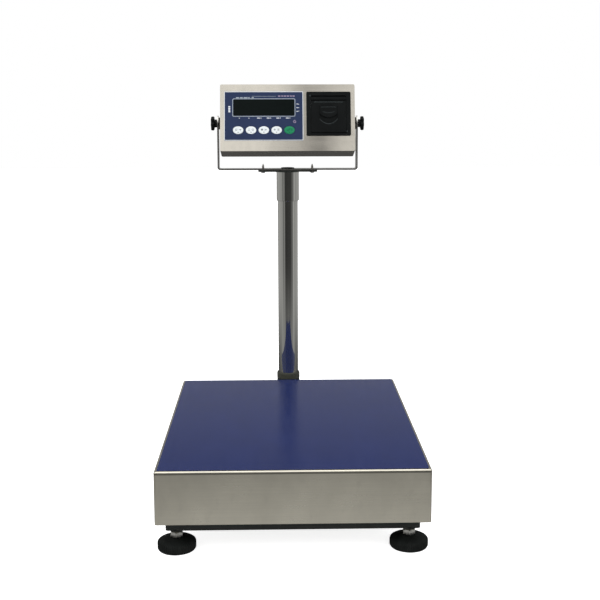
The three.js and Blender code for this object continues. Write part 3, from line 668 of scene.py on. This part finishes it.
def foot_stud(node):
    """An M10 stud with a hexagon of its own, and a spigot that turns in the pad."""
    low, high = box_mm(node)
    x, y, _ = middle(low, high)
    hex_low, hex_high = 19.5, 27.0
    under = [(0, hex_low), (8.4, hex_low), (9.75, hex_low + 0.9)]
    over = [(9.75, hex_high - 0.9), (8.4, hex_high), (0, hex_high)]
    nut = lathe(under + over, 96, hexagon_flat)
    cut = thread(4.95, hex_high + 0.2, high.z - 1.2, 1.5, 0.75)
    core = [(0, hex_high - 1), (4.2, hex_high - 1), *cut, (3.2, high.z), (0, high.z)]
    root = hex_low + 0.5
    spigot = [(0, low.z), (3.2, low.z), (4.0, low.z + 0.8), (4.0, root), (0, root)]
    stud = joined(nut, lathe(core, 48), lathe(spigot, 48))
    stand_in(node, stud, "zinc", upright(x, y))


def pan_shell(low, high, levels):
    """One side of the folded sheet, skinned from rounded rectangles: (inset, z, corner radius)."""
    width, depth = high.x - low.x, high.y - low.y
    y = middle(low, high)[1]
    rings = []
    for inset, z, radius in levels:
        outline = rectangle(width - 2 * inset, depth - 2 * inset, radius, 0, y)
        rings.append([(px, py, z) for px, py in outline])
    shell = loft(rings, caps=False)
    deck_edges = [e for e in shell.edges if e.is_boundary and e.verts[0].co.z > low.z + 10]
    bmesh.ops.contextual_create(shell, geom=deck_edges)
    return shell


def platter_pan():
    """A folded pan: an outside and an inside, joined along the skirt's foot."""
    low, high = box_mm("platter_pan")
    bend, sheet, steps = 2.6, 1.5, 6
    levels = [(0.35, low.z, 2.8), (0.0, low.z + 0.35, 3.0), (0.0, high.z - bend, 3.0)]
    for i in range(1, steps + 1):
        a = math.pi / 2 * i / steps
        levels.append((bend - bend * math.cos(a), high.z - bend + bend * math.sin(a), 3.0))
    outer = pan_shell(low, high, levels + [(40.0, high.z, 2.0)])
    under = high.z - sheet
    levels = [(sheet - 0.3, low.z, 1.7), (sheet, low.z + 0.3, 1.5), (sheet, under - 1.1, 1.5)]
    levels += [(sheet + 0.35, under - 0.35, 1.5), (sheet + 1.1, under, 1.5), (40.0, under, 1.0)]
    inner = pan_shell(low, high, levels)
    bmesh.ops.reverse_faces(inner, faces=inner.faces[:])
    whole = joined(outer, inner)
    bmesh.ops.bridge_loops(whole, edges=[e for e in whole.edges if e.is_boundary])
    stand_in("platter_pan", whole, "skirt_steel")


def deck():
    """The film on the pan's deck."""
    low, high = box_mm("deck_film")
    y = middle(low, high)[1]
    outline = rectangle(high.x - low.x, high.y - low.y, 3, 0, y)
    stand_in("deck_film", prism(outline, low.z, high.z), "film", bevel=0.2, segments=2)


def rubber_pad(node):
    """A tapered pad, dished on top, that carries one corner of the pan."""
    low, high = box_mm(node)
    x, y, _ = middle(low, high)
    side = [(0, low.z), (9.2, low.z), (10, low.z + 0.8), (9.7, low.z + 3), (8.7, high.z - 1)]
    dish = [(7.6, high.z), (4, high.z), (3.4, high.z - 0.8), (0, high.z - 0.8)]
    stand_in(node, lathe(side + dish, 48), "rubber", upright(x, y))


def frame_boss(index):
    """The tapered collar that stiffens the channel's underside above a foot."""
    x, y, _ = middle(*box_mm(f"foot_pad_{index}"))
    under = box_mm("base_frame")[0].z + 3.0
    outer = [(10.2, under + 0.1), (16.4, under + 0.1), (15.9, under - 0.8), (12.4, under - 2.6)]
    inner = [(11.4, under - 3.1), (10.4, under - 3.1), (10.2, under + 0.1)]
    boss = lathe(outer + inner, 72)
    body, slot = body_of("base_frame"), slot_of("base_frame")
    piece(f"frame_boss_{index}", boss, "black_paint", body, place=upright(x, y))


def build_base():
    refined("base_frame", "black_paint", 0.9, 3)
    refined("top_frame", "black_paint", 0.6, 2)
    refined("load_cell", "aluminium", 0.5, 2)
    refined("pole_bracket", "black_paint", 0.7, 2, 40)
    for side in ("lower", "upper"):
        for index in (1, 2):
            refined(f"cell_bolt_{side}_{index}", "zinc", 0.35, 2, 50)
    for index in range(1, 5):
        foot_pad(f"foot_pad_{index}")
        foot_stud(f"foot_stud_{index}")
        frame_boss(index)
        rubber_pad(f"platter_pad_{index}")
    platter_pan()
    deck()


# ------------------------------------------------------------------ pole and yoke


def tube_piece(node, outer, inner, chamfer):
    """A chromed tube about the pole's axis."""
    low, high = box_mm(node)
    profile = ring_profile(outer, inner, low.z, high.z, chamfer)
    stand_in(node, lathe(profile, 128), "chrome", COLUMN)


def collar():
    """The moulded collar round the pole's foot, with a rounded top."""
    low, high = box_mm("pole_collar")
    inner, outer, top = 19.3, 21.8, high.z
    wall = [(inner, low.z), (outer, low.z), (outer, top - 3.2)]
    rim = [(outer - 0.25, top - 2.0), (outer - 0.9, top - 1.0), (outer - 1.9, top - 0.3)]
    bore = [(inner + 0.5, top), (inner, top - 0.5), (inner, low.z)]
    stand_in("pole_collar", lathe(wall + rim + bore, 128), "collar_plastic", COLUMN)


def grommet():
    """The cable bush in the yoke: a sleeve with a rounded flange."""
    low, high = box_mm("yoke_grommet")
    top = high.z
    seat = top - 1.6
    sleeve = [(7.6, low.z + 0.3), (7.9, low.z), (10.2, low.z), (10.2, seat)]
    flange = [(12.3, seat), (12.75, seat + 0.4), (12.6, seat + 1.0), (11.6, top - 0.1)]
    mouth = [(10.2, top), (8.4, top - 0.2), (7.6, top - 0.9), (7.6, low.z + 0.3)]
    stand_in("yoke_grommet", lathe(sleeve + flange + mouth, 96), "rubber", COLUMN)


def tapping_screw(node):
    """A self-tapping screw with its point up."""
    low, high = box_mm(node)
    x, y, _ = middle(low, high)
    shoulder = low.z + 3.0
    profile = [(0, low.z), (2.6, low.z + 0.1), (3.8, low.z + 0.8), (4.4, low.z + 1.9)]
    profile += [(4.45, shoulder), (1.9, shoulder)]
    pitch = 1.8
    turns = int((high.z - shoulder - 1.0) / pitch)
    for i in range(turns):
        z = shoulder + 0.4 + i * pitch
        share = max(0.25, min(1.0, (high.z - z) / 5.5))
        profile += [(1.75 * share, z), (2.4 * share, z + pitch * 0.45), (1.75 * share, z + pitch * 0.9)]
    profile.append((0, high.z))
    stand_in(node, lathe(profile, 40), "zinc", upright(x, y))


def side_washer(node):
    low, high = box_mm(node, HEAD)
    profile = ring_profile(11, 4.5, low.x, high.x, 0.4)
    stand_in(node, turned_to(lathe(profile, 72), (1, 0, 0)), "rubber", HEAD)


def star(share, height, steps=144):
    """A ring of six soft lobes, as a share of the knob's full size."""
    points = []
    for i in range(steps):
        angle = 2 * math.pi * i / steps
        radius = 11.75 + 1.7 * math.cos(6 * angle) - 0.25 * math.cos(12 * angle)
        points.append((radius * share * math.cos(angle), radius * share * math.sin(angle), height))
    return points


def knob(node):
    """A moulded star knob: hub, lobed head with a dished cap, and a threaded stud."""
    low, high = box_mm(node, HEAD)
    side = 1 if low.x > 0 else -1
    inner = low.x if side > 0 else -high.x
    outer = high.x if side > 0 else -low.x
    neck = outer - 6.4
    back = [(neck, 0.86), (neck + 0.5, 0.95), (neck + 1.4, 1.0)]
    rim = [(outer - 1.6, 1.0), (outer - 0.6, 0.96), (outer - 0.1, 0.88), (outer, 0.8)]
    dish = [(outer, 0.6), (outer - 0.7, 0.5), (outer - 0.9, 0.2)]
    head = loft([star(share, height) for height, share in back + rim + dish])
    seat = box_mm("yoke", HEAD)[1].x + 0.35
    foot = [(0, seat), (6.9, seat), (7.35, seat + 0.5)]
    hub = lathe(foot + [(7.35, neck - 0.8), (8.6, neck + 0.2), (0, neck + 0.2)], 72)
    cut = thread(3.95, inner + 0.5, seat - 0.4, 1.25, 0.6)
    stud = lathe([(0, inner), (3.1, inner), *cut, (3.3, seat + 0.3), (0, seat + 0.3)], 40)
    whole = turned_to(joined(head, hub, stud), (side, 0, 0))
    stand_in(node, whole, "black_plastic", HEAD)


def build_column():
    tube_piece("pole", 19.0, 17.5, 0.3)
    tube_piece("head_sleeve", 21.3, 19.4, 0.5)
    collar()
    grommet()
    refined("support_plate", "black_paint", 0.7, 3)
    refined("yoke", "yoke_steel", 0.45, 3)
    refined("sleeve_screw", "zinc", 0.3, 2, 50)
    for index in (1, 2):
        refined(f"pole_bolt_{index}", "zinc", 0.35, 2, 50)
        tapping_screw(f"yoke_screw_{index}")
        side_washer(f"side_washer_{index}")
        knob(f"knob_{index}")


# ------------------------------------------------------------------ indicator


def cross_slot(obj, centre, axis, size, depth):
    """Cuts a cross recess into a screw's head."""
    cutters = joined(
        block(-size, size, -size * 0.22, size * 0.22, -depth, depth),
        block(-size * 0.22, size * 0.22, -size, size, -depth, depth),
    )
    turned_to(cutters, axis)
    mesh = bpy.data.meshes.new("cutter")
    bmesh.ops.transform(cutters, matrix=centre @ Matrix.Scale(MM, 4), verts=cutters.verts[:])
    cutters.to_mesh(mesh)
    cutters.free()
    tool = bpy.data.objects.new("cutter", mesh)
    bpy.context.scene.collection.objects.link(tool)
    modifier = obj.modifiers.new("recess", "BOOLEAN")
    modifier.operation = "DIFFERENCE"
    modifier.solver = "EXACT"
    modifier.use_self = True
    modifier.object = tool
    graph = bpy.context.evaluated_depsgraph_get()
    made = bpy.data.meshes.new_from_object(obj.evaluated_get(graph))
    obj.modifiers.clear()
    obj.data = made
    bpy.data.objects.remove(tool)


def cover_screw(node):
    """A small pan-head machine screw with a cross recess."""
    low, high = box_mm(node, HEAD)
    x, _, z = middle(low, high)
    seat = high.y - 2.2
    cut = thread(1.6, low.y + 0.4, seat - 0.8, 0.7, 0.3)
    shank = [(0, low.y), (1.2, low.y), *cut, (1.6, seat)]
    head = [(3.4, seat), (3.35, seat + 0.7), (2.9, seat + 1.5), (2.0, seat + 2.0), (0, seat + 2.2)]
    bm = moved(turned_to(lathe(shank + head, 48), (0, 1, 0)), x, 0, z)
    made = stand_in(node, bm, "zinc", HEAD)
    tip = HEAD @ Matrix.Translation((x * MM, high.y * MM, z * MM))
    cross_slot(made, tip, (0, 1, 0), 1.7, 1.2)


def gland():
    """The load cell's cable gland: a hexagon against the cover, and a fluted clamping nut."""
    low, high = box_mm("cell_cable_gland", HEAD)
    x, _, z = middle(low, high)
    wall = box_mm("rear_cover", HEAD)[1].y

    def fluted(radius, y, angle):
        if radius <= 6 or y <= wall + 7:
            return radius
        return radius - 0.25 * (0.5 - 0.5 * math.cos(18 * angle))

    tube = [(3, low.y), (4.6, low.y), (4.6, wall + 0.5), (6.2, wall + 5.8)]
    nut = [(6.6, wall + 7.2), (6.6, wall + 12.6), (5.9, wall + 14.2), (4.6, high.y - 0.2)]
    mouth = [(3.4, high.y), (3, high.y - 0.4), (3, low.y)]
    whole = joined(lathe(tube + nut + mouth, 108, fluted), hexagon(15, wall + 0.3, wall + 5.5))
    whole = moved(turned_to(whole, (0, 1, 0)), x, 0, z)
    stand_in("cell_cable_gland", whole, "black_plastic", HEAD)


def key_cap(index):
    """An oval cap with a soft dome."""
    node = f"key_{index}"
    low, high = box_mm(node, HEAD)
    x, _, z = middle(low, high)
    a, b = (high.x - low.x) / 2, (high.z - low.z) / 2
    front = low.y
    wall = [(high.y, 1.0), (front + 0.9, 1.0), (front + 0.62, 0.985), (front + 0.42, 0.95)]
    dome = [(front + 0.26, 0.87), (front + 0.14, 0.72), (front + 0.05, 0.45), (front + 0.01, 0.2)]
    rings = []
    for y, share in wall + dome:
        inset = (1 - share) * b
        outline = oval(a - inset * 1.15, b - inset, x, z, 72)
        rings.append([(px, y, pz) for px, pz in outline])
    stand_in(node, loft(rings), "green_key" if index == 5 else "white_key", HEAD)
    return x, z, front


def mark(name, bm, look, body="indicator"):
    """A thin printed mark on the indicator's panel or on a key."""
    piece(name, bm, look, body, place=HEAD)


# The keys' pictograms, about each cap's middle: rings are (x, z, line width), and bars are
# (x from, z from, x to, z to, width).
RING = 1.9
KEY_RINGS = {
    1: [(-3.6, 0.6, 0.7)],
    2: [(3.4, 0.6, 0.7)],
    3: [(-3.4, 0.6, RING - 0.02)],
}
KEY_BARS = {
    1: [(1.2, 0.6, 5.2, 0.6, 0.8), (3.6, 2.0, 5.3, 0.6, 0.7), (3.6, -0.8, 5.3, 0.6, 0.7)],
    2: [(-5.6, 1.9, -1.8, 1.9, 0.7), (-5.6, -0.7, -1.8, -0.7, 0.7)],
    3: [(1.4, 1.9, 5.2, 0.6, 0.7), (1.4, -0.7, 5.2, 0.6, 0.7)],
    4: [(-5.4, 0.6, -1.4, 0.6, 0.9), (-3.4, 2.4, -3.4, -1.2, 0.9)]
    + [(1.4, z, 5.0, z, 0.7) for z in (2.0, 0.6, -0.8)],
    5: [(-5.0, 0.4, -2.6, -1.4, 0.9), (-2.9, -1.4, 1.4, 2.6, 0.9)]
    + [(2.6, z, 5.6, z, 0.7) for z in (1.6, -0.4)],
}


def bar_outline(x0, z0, x1, z1, width):
    """The four corners of a straight stroke."""
    run = Vector((x1 - x0, z1 - z0))
    side = Vector((-run.y, run.x)).normalized() * width / 2
    start = [(x0 + side.x, z0 + side.y), (x0 - side.x, z0 - side.y)]
    return start + [(x1 - side.x, z1 - side.y), (x1 + side.x, z1 + side.y)]


def key_symbols(index, x, z, front):
    """Plain pictograms on a key, and a small pointer under them."""
    y0, y1 = front + 0.02, front - 0.07
    strokes = []
    for cx, cz, width in KEY_RINGS.get(index, ()):
        outer = oval(RING, RING, x + cx, z + cz, 32)
        inner = oval(RING - width, RING - width, x + cx, z + cz, 32)
        strokes.append(frame_plate(outer, inner, y0, y1))
    for stroke in KEY_BARS[index]:
        corners = [(x + cx, z + cz) for cx, cz in bar_outline(*stroke)]
        strokes.append(plate(corners, y0, y1))
    inks = ("green_ink", "green_ink") if index == 5 else ("key_ink", "dark_ink")
    key = f"key_{index}"
    mark(f"key_symbols_{index}", joined(*strokes), inks[0], key)
    triangle = plate([(x - 1.3, z - 3.6), (x + 1.3, z - 3.6), (x, z - 5.2)], y0, y1 + 0.02)
    mark(f"key_pointer_{index}", triangle, inks[1], key)


def panel_marks():
    """The panel's border and the window's outline, with plain blocks where captions would be."""
    low, high = box_mm("key_panel", HEAD)
    window_low, window_high = box_mm("display_window", HEAD)
    y0, y1 = low.y + 0.02, low.y - 0.06

    def outlined(width, height, line, radii, x, z):
        outer = rectangle(width, height, radii[0], x, z)
        inner = rectangle(width - line, height - line, radii[1], x, z)
        return frame_plate(outer, inner, y0, y1)

    def blocks(height, radius, rows):
        return [plate(rectangle(wide, height, radius, x, z, 3), y0, y1) for wide, x, z in rows]

    x, _, z = middle(low, high)
    width, height = high.x - low.x, high.z - low.z
    border = outlined(width - 0.2, height - 0.2, 2.2, (1.5, 1.0), x, z)
    mark("panel_border", border, "white_ink")
    x, _, z = middle(window_low, window_high)
    width, height = window_high.x - window_low.x, window_high.z - window_low.z
    mark("window_outline", outlined(width + 4.2, height + 4.2, 2.4, (2.8, 2.2), x, z), "grey_ink")
    rule_z = window_high.z + 6.2
    captions = ((6, -48.5), (5, -41.5), (7, -33.5), (3, -27.5), (4, -20.5))
    rules = blocks(0.5, 0.2, [(44, x, rule_z)])
    rules += blocks(2.0, 0.3, [(wide, x + at, window_high.z + 3.6) for wide, at in captions])
    mark("panel_rules", joined(*rules), "grey_ink")
    letters = ((4, 28.5), (3, 34), (4, 39), (4, 44.5), (3, 50), (4, 55))
    badge = blocks(1.5, 0.4, [(wide, x + at, rule_z + 0.4) for wide, at in letters])
    mark("plain_badge", joined(*badge), "pink_ink")
    side_x = (low.x + window_low.x) / 2 + 1.0
    pills = blocks(2.4, 0.5, [(3.6, side_x, z - 7.6 + i * 3.1) for i in range(4)])
    mark("side_bars", joined(*pills), "white_ink")
    beside = window_high.x + 5.6
    heights = [z + 6.6 - i * 7.0 for i in range(3)]
    ticks = blocks(1.3, 0.4, [(3.0, beside, at) for at in heights])
    ticks += blocks(1.3, 0.4, [(1.2, beside + 2.8, at + (i - 1) * 0.5) for i, at in enumerate(heights)])
    first, pitch, below = window_low.x + 10.8, 17.7, window_low.z - 4.9
    ticks += blocks(1.5, 0.4, [(1.4 if i < 2 else 5.6, first + i * pitch, below) for i in range(6)])
    ticks += blocks(1.5, 0.4, [(1.5, first + i * pitch + 4.6, below) for i in range(2, 6)])
    mark("panel_ticks", joined(*ticks), "white_ink")


def power_sign():
    """A ring with a gap and a stroke, above the green key."""
    low = box_mm("key_panel", HEAD)[0]
    key_high = box_mm("key_5", HEAD)[1]
    x, z = key_high.x - 0.2, key_high.z + 8.6
    y0, y1 = low.y + 0.02, low.y - 0.06
    outer, inner, steps = 2.6, 1.9, 28
    start, sweep = math.radians(125), math.radians(290)
    turn = [start + sweep * i / steps for i in range(steps + 1)]
    outline = [(x + outer * math.cos(t), z + outer * math.sin(t)) for t in turn]
    outline += [(x + inner * math.cos(t), z + inner * math.sin(t)) for t in reversed(turn)]
    stroke = plate(rectangle(0.7, 3.0, 0.3, x, z + 1.6, 3), y0, y1)
    mark("power_sign", joined(plate(outline, y0, y1), stroke), "pink_ink")


def window():
    low, high = box_mm("display_window", HEAD)
    x, _, z = middle(low, high)
    lens = plate(rectangle(high.x - low.x, high.z - low.z, 2, x, z), low.y, high.y)
    stand_in("display_window", lens, "lens", HEAD, bevel=0.25)


def paper_roll():
    """A wound roll, with fine steps on its ends."""
    low, high = box_mm("paper_roll", HEAD)
    radius = (high.z - low.z) / 2
    half = (high.x - low.x) / 2
    layers = 16
    left, right = [], []
    for i in range(layers + 1):
        r = 6.0 + (radius - 6.0) * i / layers
        step = 0.12 if i % 2 else 0.0
        left.append((r, -half + step))
        right.append((r, half - step))
    profile = left + right[::-1] + [left[0]]
    bm = moved(turned_to(lathe(profile, 96), (1, 0, 0)), *middle(low, high))
    stand_in("paper_roll", bm, "paper", HEAD)


def platen():
    """A rubber roller with a journal at each end."""
    low, high = box_mm("platen_roller", HEAD)
    half = (high.x - low.x) / 2
    journal = [(0, -half), (1.7, -half), (2, -half + 0.3), (2, -half + 3.4)]
    profile = journal + [(4.6, -half + 3.5), (5, -half + 3.9)]
    profile += [(r, -z) for r, z in reversed(profile)]
    bm = moved(turned_to(lathe(profile, 64), (1, 0, 0)), *middle(low, high))
    stand_in("platen_roller", bm, "rubber", HEAD)


def bow(half, side, foot, x, steps=20):
    """Points along a bowed line, from the left end to the right end."""
    points = []
    for i in range(steps + 1):
        t = i / steps
        sag = 4 * t * (1 - t)
        points.append((x + half * (2 * t - 1), side + (foot - side) * sag))
    return points


def bowed_strip(half, side, foot, width, x, y0, y1):
    """A raised strip along a bowed line."""
    upper = bow(half, side, foot, x)
    lower = [(px, pz - width) for px, pz in bow(half, side, foot, x)]
    return plate(lower + upper[::-1], y0, y1)


def printer_trim():
    """Raised lips on the door and latch, and moulded marks in two corners of the bezel, all in a paler
    copy of the black plastic that paints a highlight where their rims catch the light.
    """
    door_low, door_high = box_mm("printer_door", HEAD)
    latch_low, latch_high = box_mm("printer_latch", HEAD)
    frame_low, frame_high = box_mm("printer_frame", HEAD)
    x = middle(door_low, door_high)[0]

    def trim(name, bm, body, bevel, segments=2):
        # Every trim piece is made in the paler plastic, as a painted highlight.
        piece(name, bm, "painted_highlight_plastic", body, (), HEAD, bevel, segments)

    front, face, bezel = latch_low.y, door_low.y, frame_low.y
    lip = bowed_strip(16.6, 2.6, -6.6, 1.3, x, front + 1.7, front - 0.35)
    trim("door_lip", lip, "printer_door", 0.25)
    ribs = []
    for below in (1.6, 3.4):
        outline = rectangle(54, 0.5, 0.2, x, door_high.z - below, 3)
        ribs.append(plate(outline, face + 0.2, face - 0.18))
    trim("door_ribs", joined(*ribs), "printer_door", 0.08, 1)
    top = latch_high.z
    straight = plate(rectangle(29, 0.8, 0.3, x, top - 1.0, 3), front + 0.2, front - 0.25)
    bowed = bowed_strip(11, top - 9.0, top - 11.5, 0.8, x, front + 0.2, front - 0.25)
    trim("latch_ribs", joined(straight, bowed), "printer_latch", 0.1)
    corners = ((frame_low.x + 7.0, frame_high.z - 7.5), (frame_high.x - 7.0, frame_low.z + 7.5))
    dots = [plate(oval(1.3, 1.3, cx, cz, 24), bezel + 0.2, bezel - 0.2) for cx, cz in corners]
    trim("bezel_dots", joined(*dots), "indicator", 0.1)


def build_indicator():
    refined("front_housing", "head_steel", 0.7, 3)
    refined("rear_cover", "head_steel", 0.6, 3)
    refined("key_panel", "panel", 0.12, 1)
    refined("display_board", "board", 0.1, 1)
    refined("battery", "battery", 1.0, 3)
    refined("printer_frame", "black_plastic", 0.45, 3)
    refined("tear_bar", "black_plastic", 0.15, 2)
    refined("printer_door", "black_plastic", 0.4, 3)
    refined("printer_latch", "black_plastic", 0.5, 3)
    refined("print_head", "aluminium", 0.3, 2)
    for index in range(1, 5):
        cover_screw(f"cover_screw_{index}")
    gland()
    window()
    platen()
    paper_roll()
    for index in range(1, 6):
        key_symbols(index, *key_cap(index))
    panel_marks()
    power_sign()
    printer_trim()


build_base()
build_column()
build_indicator()


# ------------------------------------------------------------------ floor, light and camera


def stage_floor():
    """A wide sheet of plain pale paper under the feet."""
    bm = bmesh.new()
    bmesh.ops.create_grid(bm, x_segments=40, y_segments=40, size=9.0)
    mesh = bpy.data.meshes.new("floor")
    bm.to_mesh(mesh)
    bm.free()
    floor = bpy.data.objects.new("floor", mesh)
    bpy.context.scene.collection.objects.link(floor)
    floor.location.z = cad_bounds[0].z - 0.0002
    g = Graph("floor_paper", (0.93, 0.93, 0.925), 0.9)
    g.set("Emission Color", (1, 1, 1, 1))
    g.set("Emission Strength", 0.8)
    grain = g.noise(300, detail=2.0)
    mesh.materials.append(g.finish(g.tint(grain, 0.01)))
    floor.visible_glossy = False


def soft_light(name, place, target, size, power):
    """A large square lamp that lights the scale, but isn't mirrored in its steel."""
    data = bpy.data.lights.new(name, "AREA")
    data.shape = "RECTANGLE"
    data.size = size
    data.size_y = size
    data.energy = power
    lamp = bpy.data.objects.new(name, data)
    bpy.context.scene.collection.objects.link(lamp)
    lamp.location = place
    lamp.rotation_euler = (Vector(target) - Vector(place)).to_track_quat("-Z", "Y").to_euler()
    lamp.visible_glossy = False
    lamp.visible_camera = False
    return lamp


def turn(degrees):
    """An azimuth as a share of the circle; 0 degrees is ahead of the scale (-Y), and +X is positive."""
    return 0.5 + degrees / 360


# Levels of the reflected room, each as (place, level) stops. Round the room the place is an
# azimuth, and up its walls it is half of the direction's height plus a half.
AROUND = [
    *((0.0, 0.3), (turn(-150), 0.3), (turn(-120), 0.42), (turn(-75), 0.36), (turn(-58), 0.3)),
    *((turn(-50), 0.1), (turn(-44), 0.3), (turn(-36), 0.24), (turn(-29), 0.04), (turn(30), 0.05)),
    *((turn(42), 0.12), (turn(58), 0.2), (turn(68), 0.5), (turn(78), 0.34), (turn(120), 0.42)),
    *((turn(150), 0.3), (1.0, 0.3)),
]
BELT = [(0.0, 0.0), (0.36, 0.0), (0.42, 1.0), (0.58, 1.0), (0.67, 0.0), (1.0, 0.0)]
BELOW = [(0.0, 0.6), (0.2, 0.6), (0.3, 0.5), (0.36, 0.3), (0.43, 0.0), (1.0, 0.0)]
AHEAD = [
    *((0.0, 0.15), (turn(-100), 0.2), (turn(-60), 1.0), (turn(-9), 0.78), (turn(-4), 1.0)),
    *((turn(5), 1.0), (turn(9), 0.88), (turn(60), 1.0), (turn(100), 0.2), (1.0, 0.15)),
]
FRONT_WALL = [(0.0, 0.0), (0.67, 0.0), (0.715, 0.95), (1.0, 1.0)]
REAR_WALL = [(0.0, 0.0), (0.57, 0.0), (0.61, 0.34), (0.635, 0.22), (0.68, 0.07), (1.0, 0.07)]
IN_FRONT = [
    *((0.0, 0.0), (turn(-140), 0.0), (turn(-90), 1.0)),
    *((turn(90), 1.0), (turn(140), 0.0), (1.0, 0.0)),
]
CURTAIN = [
    *((0.0, 1.0), (turn(1.1), 1.0), (turn(1.8), 0.12), (turn(2.6), 0.12), (turn(3.5), 0.74)),
    *((turn(4.6), 0.9), (turn(9), 0.92), (1.0, 1.0)),
]
HIGH_UP = [(0.0, 0.0), (0.78, 0.0), (0.9, 1.0), (1.0, 1.0)]


def room_level(calc, ramp, split):
    """The brightness of the reflected room: a belt, a lower half, front and rear walls, a ceiling."""
    backwards = calc("MULTIPLY", split.outputs["Y"], -1.0)
    around = calc("ARCTAN2", split.outputs["X"], backwards)
    azimuth = calc("ADD", calc("DIVIDE", around, 2 * math.pi), 0.5)
    height = calc("ADD", calc("MULTIPLY", split.outputs["Z"], 0.5), 0.5)
    belt = calc("MULTIPLY", ramp(azimuth, AROUND), ramp(height, BELT))
    lower = calc("MULTIPLY", ramp(height, BELOW), ramp(azimuth, AHEAD))
    in_front = ramp(azimuth, IN_FRONT)
    front_wall = calc("MULTIPLY", ramp(height, FRONT_WALL), ramp(azimuth, CURTAIN))
    front_part = calc("MULTIPLY", front_wall, in_front)
    rear_part = calc("MULTIPLY", ramp(height, REAR_WALL), calc("SUBTRACT", 1.0, in_front))
    walls = calc("ADD", front_part, rear_part)
    ceiling = calc("MULTIPLY", ramp(height, HIGH_UP), 1.8)
    is_up = calc("GREATER_THAN", split.outputs["Z"], 0.0)
    upper = calc("MULTIPLY", is_up, calc("MAXIMUM", walls, ceiling))
    under = calc("MULTIPLY", calc("SUBTRACT", 1.0, is_up), lower)
    return calc("ADD", belt, calc("ADD", upper, under))


def studio_world():
    """A white room for sight and diffuse light, and a graded one for reflections."""
    world = bpy.data.worlds.new("studio")
    bpy.context.scene.world = world
    world.use_nodes = True
    tree = world.node_tree
    tree.nodes.clear()
    new = tree.nodes.new
    link = tree.links.new
    split = new("ShaderNodeSeparateXYZ")
    link(new("ShaderNodeTexCoord").outputs["Generated"], split.inputs[0])

    def calc(operation, a, b):
        made = new("ShaderNodeMath")
        made.operation = operation
        for socket, value in zip(made.inputs, (a, b)):
            if isinstance(value, bpy.types.NodeSocket):
                link(value, socket)
            else:
                socket.default_value = value
        return made.outputs[0]

    def ramp(value, stops):
        made = new("ShaderNodeValToRGB")
        made.color_ramp.interpolation = "EASE"
        elements = made.color_ramp.elements
        while len(elements) < len(stops):
            elements.new(0.5)
        for element, (position, level) in zip(elements, stops):
            element.position = position
            element.color = (level, level, level, 1)
        link(value, made.inputs["Fac"])
        return made.outputs["Color"]

    sight = new("ShaderNodeBackground")
    sight.inputs["Color"].default_value = (1, 1, 1, 1)
    room = new("ShaderNodeBackground")
    link(room_level(calc, ramp, split), room.inputs["Color"])
    paths = new("ShaderNodeLightPath")
    chooser = new("ShaderNodeMixShader")
    link(paths.outputs["Is Glossy Ray"], chooser.inputs["Fac"])
    link(sight.outputs[0], chooser.inputs[1])
    link(room.outputs[0], chooser.inputs[2])
    out = new("ShaderNodeOutputWorld")
    link(chooser.outputs[0], out.inputs["Surface"])


def look_camera():
    """The camera stands in front, a little to the left, and looks down on the platter."""
    place = (-0.0239, -1.7159, 0.6440)
    pitch, yaw, roll = 0.1520, 0.0240, -0.0018
    data = bpy.data.cameras.new("camera")
    data.sensor_width = 36.0
    data.lens = 62.12
    data.shift_y = -0.06
    data.clip_end = 60
    camera = bpy.data.objects.new("camera", data)
    bpy.context.scene.collection.objects.link(camera)
    aim = Matrix.Rotation(-yaw, 4, "Z") @ Matrix.Rotation(math.pi / 2 - pitch, 4, "X")
    camera.matrix_world = Matrix.Translation(place) @ aim @ Matrix.Rotation(roll, 4, "Z")
    bpy.context.scene.camera = camera


stage_floor()
studio_world()
soft_light("key_light", (-1.6, -1.6, 2.6), (0, 0, 0.3), 1.6, 26)
soft_light("fill_light", (1.9, -1.2, 1.9), (0, 0, 0.3), 1.4, 14)
soft_light("top_light", (0, 0.4, 3.0), (0, 0, 0), 2.2, 24)
look_camera()

bpy.context.scene.view_settings.view_transform = "Standard"
